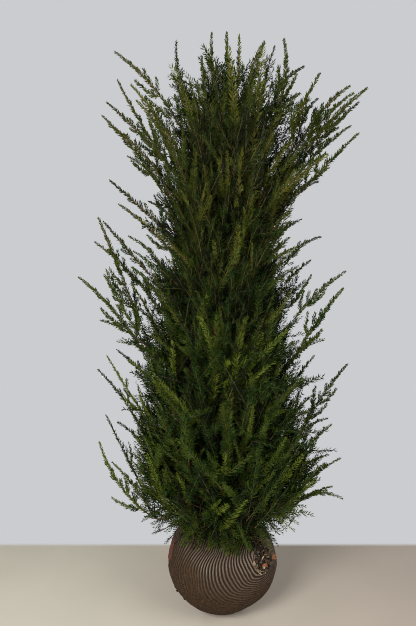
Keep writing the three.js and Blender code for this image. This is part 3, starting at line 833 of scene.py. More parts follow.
PALETTES = {
    "light": [(FRESH, OLIVE, MID), (OLIVE, OLIVE, MID), (OLIVE, MID, MID)],
    "mid": [(OLIVE, MID, MID), (MID, MID, DEEP), (MID, OLIVE, DEEP)],
    "dark": [(MID, DEEP, DEEP), (DEEP, DEEP, MID), (DEEP, DEEP, DEEP)],
}


EDGE = [(OLIVE, OLIVE, MID), (OLIVE, MID, MID), (OLIVE, OLIVE, OLIVE), (FRESH, OLIVE, MID)]  # the shoots that stand out against the light
# painted shade: the same outline shoots on the back side, in darker tones
EDGE_SHADED_BEHIND = [(MID, MID, OLIVE), (MID, OLIVE, MID), (OLIVE, MID, MID)]


def tones_for(light):
    """Painted light and shade, over the older needles' own darker green inside: light runs from 0, deep inside, to 1,
    at the sunny tips, and picks a darker or lighter palette.
    """
    x = light + rng.normal(0, 0.22)
    name = "light" if x > 0.72 else "mid" if x > 0.3 else "dark"
    return PALETTES[name][rng.randint(3)]


BARE_TWIGS = {  # the few bare ends that stick out over the ball
    "skirt_left": [
        [(-0.15, -0.07, 0.44), (-0.214, -0.08, 0.400), (-0.279, -0.10, 0.377)],
        [(-0.17, 0.0, 0.44), (-0.261, 0.0, 0.398), (-0.324, 0.0, 0.398)],
        [(-0.15, -0.10, 0.405), (-0.204, -0.10, 0.367), (-0.229, -0.12, 0.347)],
    ],
    "skirt_right": [
        [(0.13, -0.04, 0.415), (0.20, -0.05, 0.362), (0.25, -0.03, 0.350), (0.285, 0.0, 0.364), (0.306, 0.0, 0.396)],
        [(0.15, -0.02, 0.43), (0.20, -0.03, 0.398), (0.245, -0.02, 0.392), (0.29, -0.02, 0.42)],
    ],
}
FACE, FEATHERS, INSIDE = 15, 26, 35  # shoots of each kind in a mass


def ball_top(r):
    """Height of the ball's upper side at a distance from its middle line."""
    return (BALL_MIDDLE + BALL_ABOVE * max(0.0, 1 - (r / (BALL_RADIUS * MM)) ** BALL_POWER) ** (1 / BALL_POWER)) * MM


def grow_mass(m):
    stems, needles = Stems(), Needles()
    foot, head = m["heart"]
    tier = m["tier"]

    def heart(f):
        return foot + (head - foot) * clamp(f, 0, 1)

    def outwards(p):
        v = np.array([p[0] - m["axis"][0], p[1] - m["axis"][1], 0.0])
        n = math.hypot(v[0], v[1])
        return v / n if n > 0.02 else np.array([0, -1.0, 0])

    for p in m["plumes"]:
        c = p["curve"]
        out = outwards(c[2])
        d = c[2] - c[0]
        n = float(np.linalg.norm(d))
        flat = np.array([d[0], d[1], 0.0])
        bow = rng.uniform(0.10, 0.17)
        c = (c[0], c[0] + d * 0.62 + UP * n * bow - flat * bow * 0.8, c[2])  # it rises, then nods at the tip
        t = ahead_on(c, 0.6)
        normal = vunit(square_to(t, out * 0.5 + np.array([-out[1], out[0], 0]) * rng.choice([-1, 1]) * 0.9 + UP * 0.3))
        fork = heart(max(p["f"] - 0.16, 0.0))
        stems.add((fork, (fork + c[0]) / 2 + (c[1] - c[0]) * 0.1, point_on(c, 0.12)), 0.0036, 0.0028, 4, 4, 1)
        length = length_of(c)
        clothe(stems, needles, c, 0.88 * length, normal, tones_for(0.75 if p["long"] else 0.6), thick=0.0030, bare=0.065 if p["long"] else 0.05,
               branch_from=0.17 if p["long"] else 0.13)
    for c in m["outline"]:
        t = ahead_on(c, 0.5)
        behind = c[2][1] > 0.045
        near = clamp((c[0][2] - 0.2 - foot[2]) / (head[2] - foot[2]), 0.0, 0.9)
        root = heart(near)
        ahead = vunit(c[1] - c[0])
        link = (root, c[0] - ahead * 0.5 * float(np.linalg.norm(c[0] - root)), c[0])
        stems.add(link, 0.0038, 0.0030, 4, 5, 1)
        face = square_to(t, np.array([rng.normal(0, 0.45), 1.0 if behind else -1.0, rng.normal(0, 0.3)]))
        length = length_of(c)
        # painted shade: shoots behind get the darker tones
        tone = EDGE_SHADED_BEHIND[rng.randint(3)] if behind else EDGE[rng.randint(4)]
        clothe(stems, needles, c, 0.98 * length, face, tone, thick=0.0028, bare=clamp(length * 0.2, 0.03, 0.07), gap=0.034 if c[2][0] < 0 else 0.021, reach=0.044 if c[2][0] < 0 else 0.066 if c[2][2] > 1.6 else 0.058, branch_from=0.24 if c[2][0] < 0 else 0.2, flat=0.7, lift=0.22,
               ratio=0.3, size=0.96 if c[2][0] > 0 and c[2][2] > 1.6 else 0.88, spacing=0.0014, loose=36, wide=1.36, lean=38, green_at=0.0020)
        clothe(stems, needles, part_of(link, 0.25, 1.0), 0.97 * length_of(part_of(link, 0.25, 1.0)), face, (MID, MID, DEEP), thick=0.0030, bare=0.012, gap=0.028, reach=0.08,
               branch_from=0.02, flat=0.3, spacing=0.0026, size=1.1)
    for f, b, t, wide, bright in m["front"]:
        u = float(np.linalg.norm(b - f))
        u = u / (u + float(np.linalg.norm(t - b)))
        c = (f, (b - (1 - u) ** 2 * f - u * u * t) / (2 * u * (1 - u)), t)
        z0 = max(f[2] - 0.12, 0.46)
        base = np.array([np.interp(z0, TRUNK_LINE[:, 2], TRUNK_LINE[:, 0]), np.interp(z0, TRUNK_LINE[:, 2], TRUNK_LINE[:, 1]), z0])
        stems.add((base, (base + f) / 2 - UP * 0.02, f), 0.0034, 0.0024, 4, 4, 1)
        normal = vunit(square_to(ahead_on(c, 0.5), np.array([rng.normal(0, 0.25), -1.0, 0.3])))
        size = clamp(0.139 * wide + 0.12, 0.75, 1.55)
        # painted light and shade: each front shoot's tones follow how bright it is, the dull ones in the shaded outline
        # tones
        tone = (FRESH, OLIVE, OLIVE) if bright == 2 or (bright == 1 and t[2] > 1.6 and rng.rand() < 0.5) else EDGE[rng.randint(4)] if bright == 1 else EDGE_SHADED_BEHIND[rng.randint(3)]
        clothe(stems, needles, c, 0.95 * length_of(c), normal, tone, thick=0.0022, bare=0.05, gap=0.042, reach=0.022 + 0.003 * wide, ratio=0.3, flat=0.9,
               spacing=0.0021 * size + 0.0004, size=size, loose=20, lean=48, green_at=0.0013)
    # shoots that make up the crown's own face
    low, high = (m["heart"][0][2] - 0.12, m["heart"][1][2] + 0.12) if tier else (1.95, 2.2)
    count = (FACE if foot[2] < 1.0 else FACE - 4) if tier else 8
    for k in range(count):
        z = lerp(low, high, (k + rng.rand()) / count)
        az = m["azimuth"] + (((k * 0.618 + 0.3 * rng.rand()) % 1) * 2 - 1) * (m["half"] + 5)
        edge = crown_radius(az, z)
        r = edge * rng.uniform(0.7, 0.98) + 0.02
        z = max(z, 0.43 + 0.25 * max(0.0, r - 0.2))
        tip = polar(az, r, z) + m["axis"] * 0.7
        reach = rng.uniform(0.2, 0.34)
        near = clamp((z - reach * 0.8 - foot[2]) / max(head[2] - foot[2], 0.05), 0.0, 0.9)
        start = heart(near) + polar(az, rng.uniform(0.0, 0.05), 0)
        n = float(np.linalg.norm(tip - start))
        out = outwards(tip)
        bend = start + (tip - start) * 0.55 + UP * n * rng.uniform(0.0, 0.08) - out * n * rng.uniform(-0.04, 0.05)
        c = (start, bend, tip)
        normal = vunit(square_to(ahead_on(c, 0.7), out * 0.9 + np.array([-out[1], out[0], 0]) * rng.normal(0, 0.45) + UP * 0.2))
        # painted shade: the face shoots under the feathers get dark palettes, darker higher up and darker the further
        # in they stand
        clothe(stems, needles, c, 0.3, normal, tones_for((0.37 if z < 1.0 else 0.22 if z < 1.25 else 0.14 if z < 1.5 else 0.02) + 0.35 * (r / edge - 0.9) / 0.17), thick=0.0022, bare=0.05, gap=0.024, reach=0.055, branch_from=0.12,
               spacing=0.0034, size=1.26, green_at=0.0012)
    # upright shoots, which stand in front of the others like feathers
    facing = math.exp(-(((m["azimuth"] - 270 + 180) % 360 - 180) / 45) ** 2)
    count = int(((FEATHERS if foot[2] < 1.0 else FEATHERS + 14) if tier else 52) * (1 - (0.45 if foot[2] < 1.0 else 0.5) * facing))
    for k in range(count):
        z = lerp(max(low + 0.02, 0.62), high + 0.05, (k + rng.rand()) / count)
        az = m["azimuth"] + (((k * 0.618 + 0.5 + 0.3 * rng.rand()) % 1) * 2 - 1) * (m["half"] + 4)
        edge = crown_radius(az, z)
        out = polar(az, 1, 0)
        tip = polar(az, edge * rng.uniform(0.84 if z < 1.5 else 0.7, 1.0) + 0.015, z) + m["axis"] * 0.7
        ln = min(rng.uniform(0.17, 0.31 if z < 1.2 else 0.38), (z - 0.46) * 1.1)
        low_down = clamp((1.25 - z) / 0.6, 0.0, 1.0)
        beside = np.array([-out[1], out[0], 0])
        fan = 0.35 * abs(out[0]) if z > 1.55 else 0.0
        along = vunit(UP + out * (fan + rng.uniform(0.2, lerp(0.75, 1.15, low_down))) + beside * rng.normal(0, lerp(0.30, 0.5, low_down)))
        foot_at = tip - along * ln
        far = math.hypot(foot_at[0] - m["axis"][0], foot_at[1] - m["axis"][1])
        room = crown_radius(az, foot_at[2]) * 0.8
        if far > room:
            foot_at[:2] = m["axis"][:2] + (foot_at[:2] - m["axis"][:2]) * room / far
            along = vunit(tip - foot_at)
            ln = float(np.linalg.norm(tip - foot_at))
        near = clamp((foot_at[2] - 0.1 - foot[2]) / max(head[2] - foot[2], 0.05), 0.0, 0.9)
        base = heart(near)
        stems.add((base, (base + foot_at) / 2 - out * 0.01 - UP * 0.02, foot_at), 0.0024, 0.0017, 3, 3, 1)
        c = (foot_at, foot_at + along * ln * 0.5 + out * ln * rng.uniform(0.0, 0.08), tip)
        normal = vunit(square_to(along, out + beside * rng.normal(0, 0.3)))
        # painted light and shade: the feathers' palette is lightest low down and at the top, and darker on the crown's
        # front
        bright = (0.76 if z > 1.7 else 0.58 if z > 1.3 else 0.66 if z > 1.0 else 0.8) - (0.5 if z > 1.4 else 0.2) * facing
        if z > 1.45 and rng.rand() < 0.85:  # near the top they are plain, with a side twig here and there
            clothe(stems, needles, c, 0.96 * ln, normal, tones_for(bright), thick=0.0019, bare=rng.uniform(0.08, 0.14), gap=0.085, reach=0.045, ratio=0.32, flat=0.85,
                   spacing=0.0030, size=1.36, loose=24, lean=48, wide=0.98, green_at=0.0013)
        elif rng.rand() < 0.68 - 0.2 * low_down:  # one long needled shoot with few side twigs
            clothe(stems, needles, c, 0.94 * ln, normal, tones_for(bright), thick=0.0019, bare=rng.uniform(0.06, 0.11), gap=0.03, reach=0.042, ratio=0.32, flat=0.85,
                   spacing=0.0040, size=1.34, loose=13, lean=52, wide=0.98, green_at=0.0011)
        else:
            clothe(stems, needles, c, 0.94 * ln, normal, tones_for(bright), thick=0.0019, bare=rng.uniform(0.04, 0.08), gap=0.023, reach=0.055, ratio=0.38, flat=0.75,
                   spacing=0.0037, size=1.32, loose=16, lean=50, green_at=0.0011)
    # the crown's inside, in the shade: sprays all through its volume, each on a stem of its own
    count = (INSIDE + int(14 * facing) if foot[2] < 1.0 else INSIDE) if tier else 14
    for k in range(count):
        z = max(lerp(low - 0.02, high - 0.05, (k + rng.rand()) / count), 0.435)
        az = m["azimuth"] + rng.uniform(-1, 1) * (m["half"] + 4)
        edge = crown_radius(az, z)
        share = rng.uniform(0.12, 0.86) if k % 6 else rng.uniform(0.04, 0.3)
        out = polar(az, 1, 0)
        a = polar(az, edge * share, z) + m["axis"] * 0.7
        ln = rng.uniform(0.11, 0.19)
        d = out * rng.uniform(-0.1, 1.1) + UP * rng.uniform(0.1, 1.2) + rng.normal(0, 0.3, 3)
        d = vunit(np.array([d[0], d[1], max(d[2], 0.1)]))
        b = a + d * ln
        if edge * share < 0.11:
            base = np.array([np.interp(a[2] - 0.08, TRUNK_LINE[:, 2], TRUNK_LINE[:, 0]), np.interp(a[2] - 0.08, TRUNK_LINE[:, 2], TRUNK_LINE[:, 1]), a[2] - 0.08])
            base[2] = max(base[2], 0.46)
        else:
            base = heart(clamp((a[2] - 0.08 - foot[2]) / max(head[2] - foot[2], 0.05), 0.0, 0.9))
        stems.add((base, (base + a) / 2 - UP * 0.01, a), 0.0020, 0.0013, 3, 2, 1)
        deep = share < 0.6 and z < 1.8
        # painted shade: apart from the few brown sprays, the inside sprays get dark palettes, darkest at middle heights
        # and deepest in
        tone = (BROWN, BROWN, BROWN) if rng.rand() < 0.014 and share < 0.7 and z < 1.6 else tones_for((0.06 if z < 1.0 else -0.1 if z < 1.95 else 0.35) + 0.3 * share)
        clothe(stems, needles, (a, (a + b) / 2 + UP * 0.008, b), 0.97 * ln, vunit(square_to(d, rng.normal(size=3))), tone, thick=0.0016, bare=0.02, gap=0.024, reach=0.06,
               size=1.6 if deep else 1.3, spacing=0.0042 if deep else 0.0032, loose=50, wide=1.5 if deep else 1.0)
    # the lowest shoots lie over the ball's shoulder and turn up at their ends
    if tier and tier["name"] == "skirt":
        toward = math.exp(-(((m["azimuth"] - 270 + 180) % 360 - 180) / 60) ** 2)
        for k in range(int(36 + 34 * toward)):
            az = m["azimuth"] + ((((k * 0.618) % 1) * 2 - 1) * (m["half"] + 4))
            lay = rng.uniform(0.010, 0.075)
            r = rng.uniform(0.12, 0.172 + 0.044 * math.exp(-(((az - 280) / (30 if az < 280 else 34)) ** 2)))
            a = polar(az + rng.normal(0, 14), rng.uniform(0.04, 0.11), rng.uniform(0.455, 0.51))
            bend = polar(az + rng.normal(0, 5), r * 0.68, ball_top(r * 0.68) + 0.03 + lay * 0.6)
            b = polar(az + rng.normal(0, 9), r, max(ball_top(r) + lay, 0.340))
            # painted light: the shoots lying on the ball get light palettes, against the crown's shade above them
            clothe(stems, needles, (a, bend, b), 0.15, vunit(square_to(vunit(b - a), UP + rng.normal(0, 0.4, 3))), tones_for(0.95), thick=0.0016, bare=0.014, gap=0.019, reach=0.036,
                   spacing=0.0033, size=1.42, lift=0.5, loose=45, green_at=0.0011)
        for k in range(22):  # and the lowest of the crown's own face, just clear of the ball
            az = m["azimuth"] + ((((k * 0.618 + 0.37) % 1) * 2 - 1) * (m["half"] + 4))
            r = rng.uniform(0.16, 0.285 + 0.03 * math.cos(math.radians(az)))
            a = polar(az + rng.normal(0, 8), rng.uniform(0.05, 0.12), rng.uniform(0.46, 0.52))
            b = polar(az, r, max(ball_top(min(r, 0.22)) + 0.02, 0.335 + 0.48 * max(0.0, r - 0.21)) + rng.uniform(0.0, 0.055))
            out = polar(az, 1, 0)
            clothe(stems, needles, (a, (a + b) / 2 + UP * 0.022, b), 0.17, vunit(square_to(vunit(b - a), out * 0.8 + UP * 0.3 + rng.normal(0, 0.35, 3))), tones_for(0.5),
                   thick=0.0016, bare=0.02, gap=0.022, reach=0.045, spacing=0.0037, size=1.3, lift=0.4, loose=34, green_at=0.0011)
    if m["name"] in BARE_TWIGS:
        for pts in BARE_TWIGS[m["name"]]:
            root = heart(0.02)
            p = [np.array(q) for q in pts]
            stems.add((root, (root + p[0]) / 2 + UP * 0.01, p[0]), 0.0030, 0.0024, 4, 4, 1)
            for a, b in zip(p[:-1], p[1:]):
                stems.add((a, (a + b) / 2 + UP * 0.003 + rng.normal(0, 0.004, 3), b), 0.0017, 0.0012, 4, 3, 1)
            clothe(stems, needles, (p[-2], (p[-2] + p[-1]) / 2, p[-1]), 0.05, vunit(UP + rng.normal(0, 0.3, 3)), (MID, MID, DEEP), thick=0.0012, bare=0.012, gap=0.016, reach=0.024, size=0.9)
    return stems, needles


def tucked(v):
    """The few ends that lean furthest to the front or the back are bent in softly."""
    for side, start in ((1, cad_high[1] - 0.012), (-1, -cad_low[1] - 0.006)):
        over = v[:, 1] * side - start
        far = over > 0
        v[far, 1] = side * (start + 0.036 * np.tanh(over[far] / 0.036))
    return v


total = [0, 0]
for m in MASSES:
    stems, needles = grow_mass(m)
    v, f, idx = needles.arrays()
    v = tucked(v)
    total[0] += len(f)
    o = make_mesh("needles_" + m["name"], v, f, NEEDLE_MATS, idx)
    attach(o, "root")
    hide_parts("foliage_" + m["name"])
    v, f, idx = stems.arrays()
    v = tucked(v)
    total[1] += len(f)
    o = make_mesh("twigs_" + m["name"], v, f, [TWIG_GREEN, TWIG_BROWN, TWIG_RUST], idx, smooth=True)
    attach(o, "root")
    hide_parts("foliage_" + m["name"])
print("triangles: needles %d, twigs %d" % tuple(total), flush=True)


# ------------------------------------------------------------------ trunk and boughs
def wobble(p, scale, seed, octaves=3):
    """Smooth pseudo-noise from sums of sine waves, about -1 to 1."""
    r = np.random.RandomState(seed)
    out = np.zeros(len(p))
    amp = 1.0
    for _ in range(octaves):
        for _ in range(4):
            k = r.normal(size=3)
            k = k / np.linalg.norm(k) * scale
            out += amp * np.sin(p @ k + r.uniform(0, 6.28)) / 4
        scale *= 2.1
        amp *= 0.55
    return out


def limb_mesh(name, points, radii, sides, relief, seed):
    points = np.asarray(points, float)
    k = len(points)
    ahead, side, up = frames_along(points, np.array([0.31, 0.95, 0.02]))
    a = np.linspace(0, 2 * np.pi, sides, endpoint=False)
    dirs = side[:, None, :] * np.cos(a)[None, :, None] + up[:, None, :] * np.sin(a)[None, :, None]
    surf = points[:, None, :] + dirs * np.asarray(radii)[:, None, None]
    flat = surf.reshape(-1, 3)
    stretched = flat * np.array([1, 1, 0.22])
    h = wobble(stretched, 420, seed, 3) * 0.6 + np.abs(wobble(stretched, 700, seed + 5, 2)) * 0.5
    r = (np.asarray(radii)[:, None] * np.ones(sides)[None, :]).ravel()
    flat = flat + dirs.reshape(-1, 3) * (h * np.minimum(relief, r * 0.16))[:, None]
    v = np.concatenate([flat, points[:1], points[-1:]])
    i = np.arange(k - 1)[:, None] * sides
    j = np.arange(sides)[None, :]
    j2 = (j + 1) % sides
    q = np.stack([(i + j).ravel(), (i + j2).ravel(), (i + sides + j2).ravel(), (i + sides + j).ravel()], 1)
    f = np.concatenate([q[:, [0, 1, 2]], q[:, [0, 2, 3]]])
    last = (k - 1) * sides
    s = np.arange(sides)
    s2 = (s + 1) % sides
    f = np.concatenate([f, np.stack([s2, s, np.full(sides, k * sides)], 1), np.stack([last + s, last + s2, np.full(sides, k * sides + 1)], 1)])
    o = make_mesh(name, v, f, [BARK], smooth=True)
    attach(o, "root")
    return o


z = np.linspace(BALL_TOP * MM + 0.0004, TRUNK_LINE[-1, 2], 160)
line = np.stack([np.interp(z, TRUNK_LINE[:, 2], TRUNK_LINE[:, 0]), np.interp(z, TRUNK_LINE[:, 2], TRUNK_LINE[:, 1]), z], 1)
g = (z - TRUNK_LINE[0, 2]) / (TRUNK_LINE[-1, 2] - TRUNK_LINE[0, 2])
core = TRUNK_RADIUS + (TRUNK_TIP - TRUNK_RADIUS) * np.clip((g - 0.05) / 0.945, 0, 1) ** 0.85
flare = np.interp(g, [0, 0.011, 0.026, 0.05], [TRUNK_FOOT + 1, TRUNK_FOOT - 2, TRUNK_RADIUS + 5, TRUNK_RADIUS])
trunk = limb_mesh("trunk_bark", line, np.where(g < 0.05, flare, core) * MM * 0.97, 36, 0.0016, 11)
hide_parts("trunk")

for i, m in enumerate(MASSES):
    if not m["tier"] or "bough_" + m["name"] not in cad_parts:
        continue
    foot_out, foot_z = m["tier"]["foot"]
    low = max(foot_z - BOUGH_DROP, BALL_TOP + NECK_HEIGHT + 16)
    start = np.array([np.interp(low * MM, TRUNK_LINE[:, 2], TRUNK_LINE[:, 0]), np.interp(low * MM, TRUNK_LINE[:, 2], TRUNK_LINE[:, 1]), low * MM])
    end = polar(m["azimuth"], foot_out * MM, (foot_z + 70) * MM) + m["axis"]
    c = arching(start, end, 0.08)
    thick = BOUGH_RADIUS * lerp(1.1, 0.72, (foot_z - 462) / 1100) * MM
    us = np.linspace(0, 1, 18)
    first = bezier(c, us)
    second = end + (m["heart"][1] - end) * np.linspace(0.08, 0.95, 14)[:, None]
    pts = np.concatenate([first, second])
    rr = np.concatenate([np.interp(us, [0, 0.3, 1], [thick * 1.3, thick, 0.0065]), np.linspace(0.0062, 0.0026, 14)])
    o = limb_mesh("bough_bark_" + m["name"], pts, rr * 0.97, 14, 0.0009, 40 + i)
    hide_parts("bough_" + m["name"])

# ------------------------------------------------------------------ root ball in its ribbed wrap
GATHER = polar(GATHER_AZIMUTH, math.cos(math.radians(GATHER_ELEVATION)), math.sin(math.radians(GATHER_ELEVATION)))
GATHER = np.array([GATHER[0], GATHER[1], math.sin(math.radians(GATHER_ELEVATION))])
G_RIGHT = unit(np.cross(np.array([0, 0, 1.0]), GATHER))  # to the right as seen from outside
G_UP = np.cross(GATHER, G_RIGHT)


# The wrap's ribs, numbered outwards from the gather: azimuth and elevation of points along each, seen from the ball's middle.
RIBS = {
    0: [(304.5, 29.7), (304.7, 23.9), (307.1, 18.1)],
    1: [(304.7, 35.9), (301.9, 30.5), (302.3, 25), (304.3, 19.3)],
    2: [(301.5, 36.5), (298.2, 30.8), (299.2, 24.6), (300.9, 18.5), (303.9, 12.4)],
    3: [(294.4, 30.9), (294.8, 25.2), (296.4, 19.4), (299.2, 13.8), (319.1, 9), (301.1, 7.8), (315.3, 4.9)],
    4: [(295.9, 36.6), (291.3, 31.4), (290.5, 25.6), (292.7, 19.7), (294.9, 13.8), (297.8, 7.8), (322.4, 7.6), (304.8, 4.1), (318, 2.7)],
    5: [(287.9, 32), (286.9, 26.1), (288.7, 20.3), (290.8, 14.5), (293.7, 8.8)],
    6: [(284.5, 32.3), (283.5, 26.4), (284.1, 20.4), (286.6, 14.8), (289.3, 9), (331.6, 6.3), (293.6, 3.8), (300.7, 1.3), (326.5, 1.3),
        (317.6, -0.4), (308.3, -0.8)],
    7: [(282.4, 32.9), (280.5, 27.3), (280.7, 21.4), (282.2, 15.7), (284.6, 10.1), (287.9, 4.5), (296.3, -0.2), (303.7, -1.7)],
    8: [(279, 32.9), (277.1, 27.3), (277.1, 21.5), (278.4, 15.7), (281.1, 10.1), (284.2, 4.6), (288.5, -0.8), (295.3, -2.5)],
    9: [(275.8, 33.3), (273.4, 27.8), (273.1, 21.8), (273.7, 15.9), (276, 10.3), (279.3, 4.9), (283.3, -0.5), (336.2, -0.5), (289.5, -3.6),
        (296.6, -5.5), (328.9, -5.6), (303.7, -5.8), (316.7, -7.7)],
    10: [(272.3, 33.2), (269.4, 27.2), (269.2, 20.8), (270.4, 14.5), (273.1, 7.2), (276.7, 2), (281.2, -3.2), (287.7, -5.9), (294.4, -7)],
    11: [(269.5, 37.4), (267.8, 31.9), (265.6, 26.1), (265.4, 19.9), (266.3, 13.8), (268.2, 7.9), (272.9, 0.7), (277.1, -4.6), (283.3, -7.5),
        (290.1, -9.9), (297.2, -11)],
    12: [(265.2, 33.2), (262.7, 27.5), (261.8, 21.4), (262.1, 15.3), (263.3, 9.3), (265.9, 3.7), (269.5, -1.5), (273.7, -6.9), (280, -9.7),
        (286.7, -13.3), (293.6, -14.6), (312.2, -14.8), (329.8, -16.5)],
    13: [(261.8, 32.9), (259.3, 27), (258.4, 20.9), (258.3, 14.7), (259.8, 8.5), (262.2, 2.7), (265.5, -2.7), (270.4, -6.8)],
    14: [(259, 32.8), (256.3, 27.2), (254.5, 21.2), (254.9, 15.2), (256.1, 9.2), (257.3, 3.2), (260.5, -2.1), (264.3, -7.7), (269.2, -12.2),
        (275.5, -15.6), (282.3, -18.6), (289.8, -20)],
    15: [(259.9, 36.8), (255.1, 31.6), (252.3, 25.6), (250.9, 19.4), (251.4, 12.1), (253, 6.1), (254.6, 0.3), (257.7, -4.8), (261.8, -10.3),
        (267, -15), (273.2, -18.9), (280.2, -22.4), (310.2, -29.2)],
    16: [(256.1, 36.1), (251.6, 30.3), (248.8, 24), (248, 17.4), (249.8, 1.6), (252.2, -4.9), (256, -11.1), (261.5, -16.3), (267.9, -21)],
    17: [(246.3, 7.9), (247.9, -2.2), (255.4, -17.5), (261.8, -21.4), (286.9, -28.3)],
    18: [(243.4, -3.3)],
    19: [(245.8, 37), (243.1, 31.3), (240.1, 25.5), (238.1, 19.3), (240.8, 6.7)],
    20: [(243.7, 37.5), (240.4, 32.1), (237.7, 26.6), (235.1, 21), (237.9, 5.9)],
    21: [(241.2, 38), (237.1, 32.6), (234.2, 26.8), (231.9, 20.8), (230.8, 14.9), (235.2, 5.1)],
    22: [(232.9, 32.4), (230.6, 26.2), (231.8, 4), (234.9, -6)],
    23: [(231.5, 35.2), (228.1, 29), (226.1, 22.7), (228.2, 2.6)],
    24: [(226.2, 33.9), (223.5, 27.6), (221.4, 21.2), (220.4, 14.7), (221.4, 8.2), (224.1, 1)],
    26: [(214.9, 17.7), (213.3, 6.6), (214.7, -1.3)],
}
RIB_PITCH = 0.0124


def rib_field():
    """A smooth field over directions from the ball's middle. Rib k runs where the field is k."""
    at, number = [], []
    for k, row in RIBS.items():
        for az, el in row:
            a, e = math.radians(az), math.radians(el)
            at.append((math.cos(e) * math.cos(a), math.cos(e) * math.sin(a), math.sin(e)))
            number.append(k)
    at, number = np.array(at), np.array(number, float)

    def rings(d):
        return np.arccos(np.clip(d @ GATHER, -1, 1)) * 0.2275 / RIB_PITCH

    n = len(at)
    A = np.zeros((n + 4, n + 4))
    A[:n, :n] = 0.006 * np.eye(n) - np.linalg.norm(at[:, None] - at[None], axis=2)
    A[:n, n:] = np.c_[np.ones(n), at]
    A[n:, :n] = A[:n, n:].T
    w = np.linalg.solve(A, np.r_[number - rings(at), np.zeros(4)])
    front = np.array([-0.1, -1, -0.1]) / math.sqrt(1.02)

    def field(d):
        shape = d.shape[:-1]
        d = d.reshape(-1, 3)
        near = np.concatenate([w[n] + x @ w[n + 1 :] - np.linalg.norm(x[:, None] - at[None], axis=2) @ w[:n] for x in np.array_split(d, len(d) // 8000 + 1)])
        t = np.clip((np.degrees(np.arccos(np.clip(d @ front, -1, 1))) - 62) / 63, 0, 1)
        t = t * t * (3 - 2 * t)
        return (rings(d) + near * (1 - t) - 3.9 * t).reshape(shape)

    return field


def ball_mesh():
    """The ball in its knitted wrap. The mesh's rings follow the ribs, five to a rib."""
    field = rib_field()
    spokes, per_rib = 200, 5
    ph = np.linspace(0, 2 * np.pi, spokes, endpoint=False)
    fine = np.linspace(0.0, np.pi, 500)
    around = np.cos(ph)[:, None] * G_RIGHT + np.sin(ph)[:, None] * G_UP
    d = np.cos(fine)[None, :, None] * GATHER + np.sin(fine)[None, :, None] * around[:, None, :]
    f = field(d)
    f = np.maximum.accumulate(f, axis=1) + fine * 0.35
    first, last = f[:, 0].mean(), f[:, -1].mean()
    rings = int((last - first) * per_rib)
    levels = (np.arange(math.ceil(first * per_rib) + 1, math.ceil(first * per_rib) + rings - 1)) / per_rib
    rings = len(levels)
    T = np.stack([np.interp(levels, f[j], fine) for j in range(spokes)], 1)
    P = np.broadcast_to(ph[None, :], T.shape)
    d = np.cos(T)[..., None] * GATHER + np.sin(T)[..., None] * around[None]
    R = ball_radius(d)
    flat = (d * R[..., None]).reshape(-1, 3)
    phase = np.broadcast_to(levels[:, None], T.shape)
    ridge = (0.5 + 0.5 * np.cos(2 * np.pi * phase)) ** 0.8
    # how clearly the ribs stand out: rubbed flat and soiled to the left and low down
    upright = np.interp(d[..., 2], [-0.6, -0.28, -0.1, 0.1, 0.25, 0.4, 0.55, 0.9], [0.3, 0.42, 0.46, 0.6, 0.74, 1.0, 0.85, 0.6])
    to_left = np.interp(-d[..., 0] - np.where(d[..., 2] > 0.1, 1.45, 0.9) * (d[..., 2] - 0.1) - 0.5 * np.maximum(d[..., 1], 0), [0.0, 0.25, 0.5, 0.8, 1.1], [1.0, 0.6, 0.4, 0.3, 0.45])
    patchy = wobble(flat, 22, 9, 3).reshape(T.shape)
    clear = np.clip(upright * to_left + 0.14 * patchy, 0.12, 1.0)
    soil = np.clip(1.0 - clear * 1.05, 0, 1)
    strand = wobble(flat, 900, 31, 2).reshape(T.shape)
    near = np.clip((T - 0.12) / 0.12, 0, 1)
    amp = 0.0042 * clear * near * (1 + 0.25 * wobble(flat, 60, 12, 2).reshape(T.shape))
    lumps = wobble(flat, 26, 20, 3).reshape(T.shape) * 0.0026 + wobble(flat, 95, 21, 3).reshape(T.shape) * 0.0009
    lip = 0.006 * np.exp(-(((T - 0.235) / 0.035) ** 2)) * np.clip(0.5 - 0.9 * np.cos(P - math.radians(20)), 0, 1)
    h = amp * (ridge - 0.6) + lumps + lip + 0.0005 * strand
    p = d * (R + h)[..., None] + np.array([0, 0, BALL_MIDDLE * MM])
    p[..., 2] = np.clip(p[..., 2], 0.0, BALL_TOP * MM + 0.002)
    poles = np.array([GATHER * ball_radius(GATHER[None])[0], -GATHER * ball_radius(-GATHER[None])[0]]) + np.array([0, 0, BALL_MIDDLE * MM])
    v = np.concatenate([p.reshape(-1, 3), poles])
    i = np.arange(rings - 1)[:, None] * spokes
    j = np.arange(spokes)[None, :]
    j2 = (j + 1) % spokes
    q = np.stack([(i + j).ravel(), (i + spokes + j).ravel(), (i + spokes + j2).ravel(), (i + j2).ravel()], 1)
    faces = np.concatenate([q[:, [0, 1, 2]], q[:, [0, 2, 3]]])
    s1 = np.arange(spokes)
    s2 = (s1 + 1) % spokes
    end = (rings - 1) * spokes
    n = rings * spokes
    faces = np.concatenate([faces, np.stack([np.full(spokes, n), s1, s2], 1), np.stack([end + s2, end + s1, np.full(spokes, n + 1)], 1)])
    # painted light and shade: the rib mask is light on the ridges and dark in the grooves, less so where the wrap is
    # rubbed flat, with a little strand noise
    rib = np.clip(ridge * (0.55 + 0.45 * clear) + 0.12 * strand, 0, 1)
    print("ball triangles", len(faces), flush=True)
    return make_mesh("root_ball_wrap", v, faces, [JUTE], smooth=True, attrs={"rib": np.concatenate([rib.ravel(), [0.3, 0.5]]), "soil": np.concatenate([soil.ravel(), [0.5, 0.8]])})


ball = ball_mesh()
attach(ball, "root")
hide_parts("root_ball")


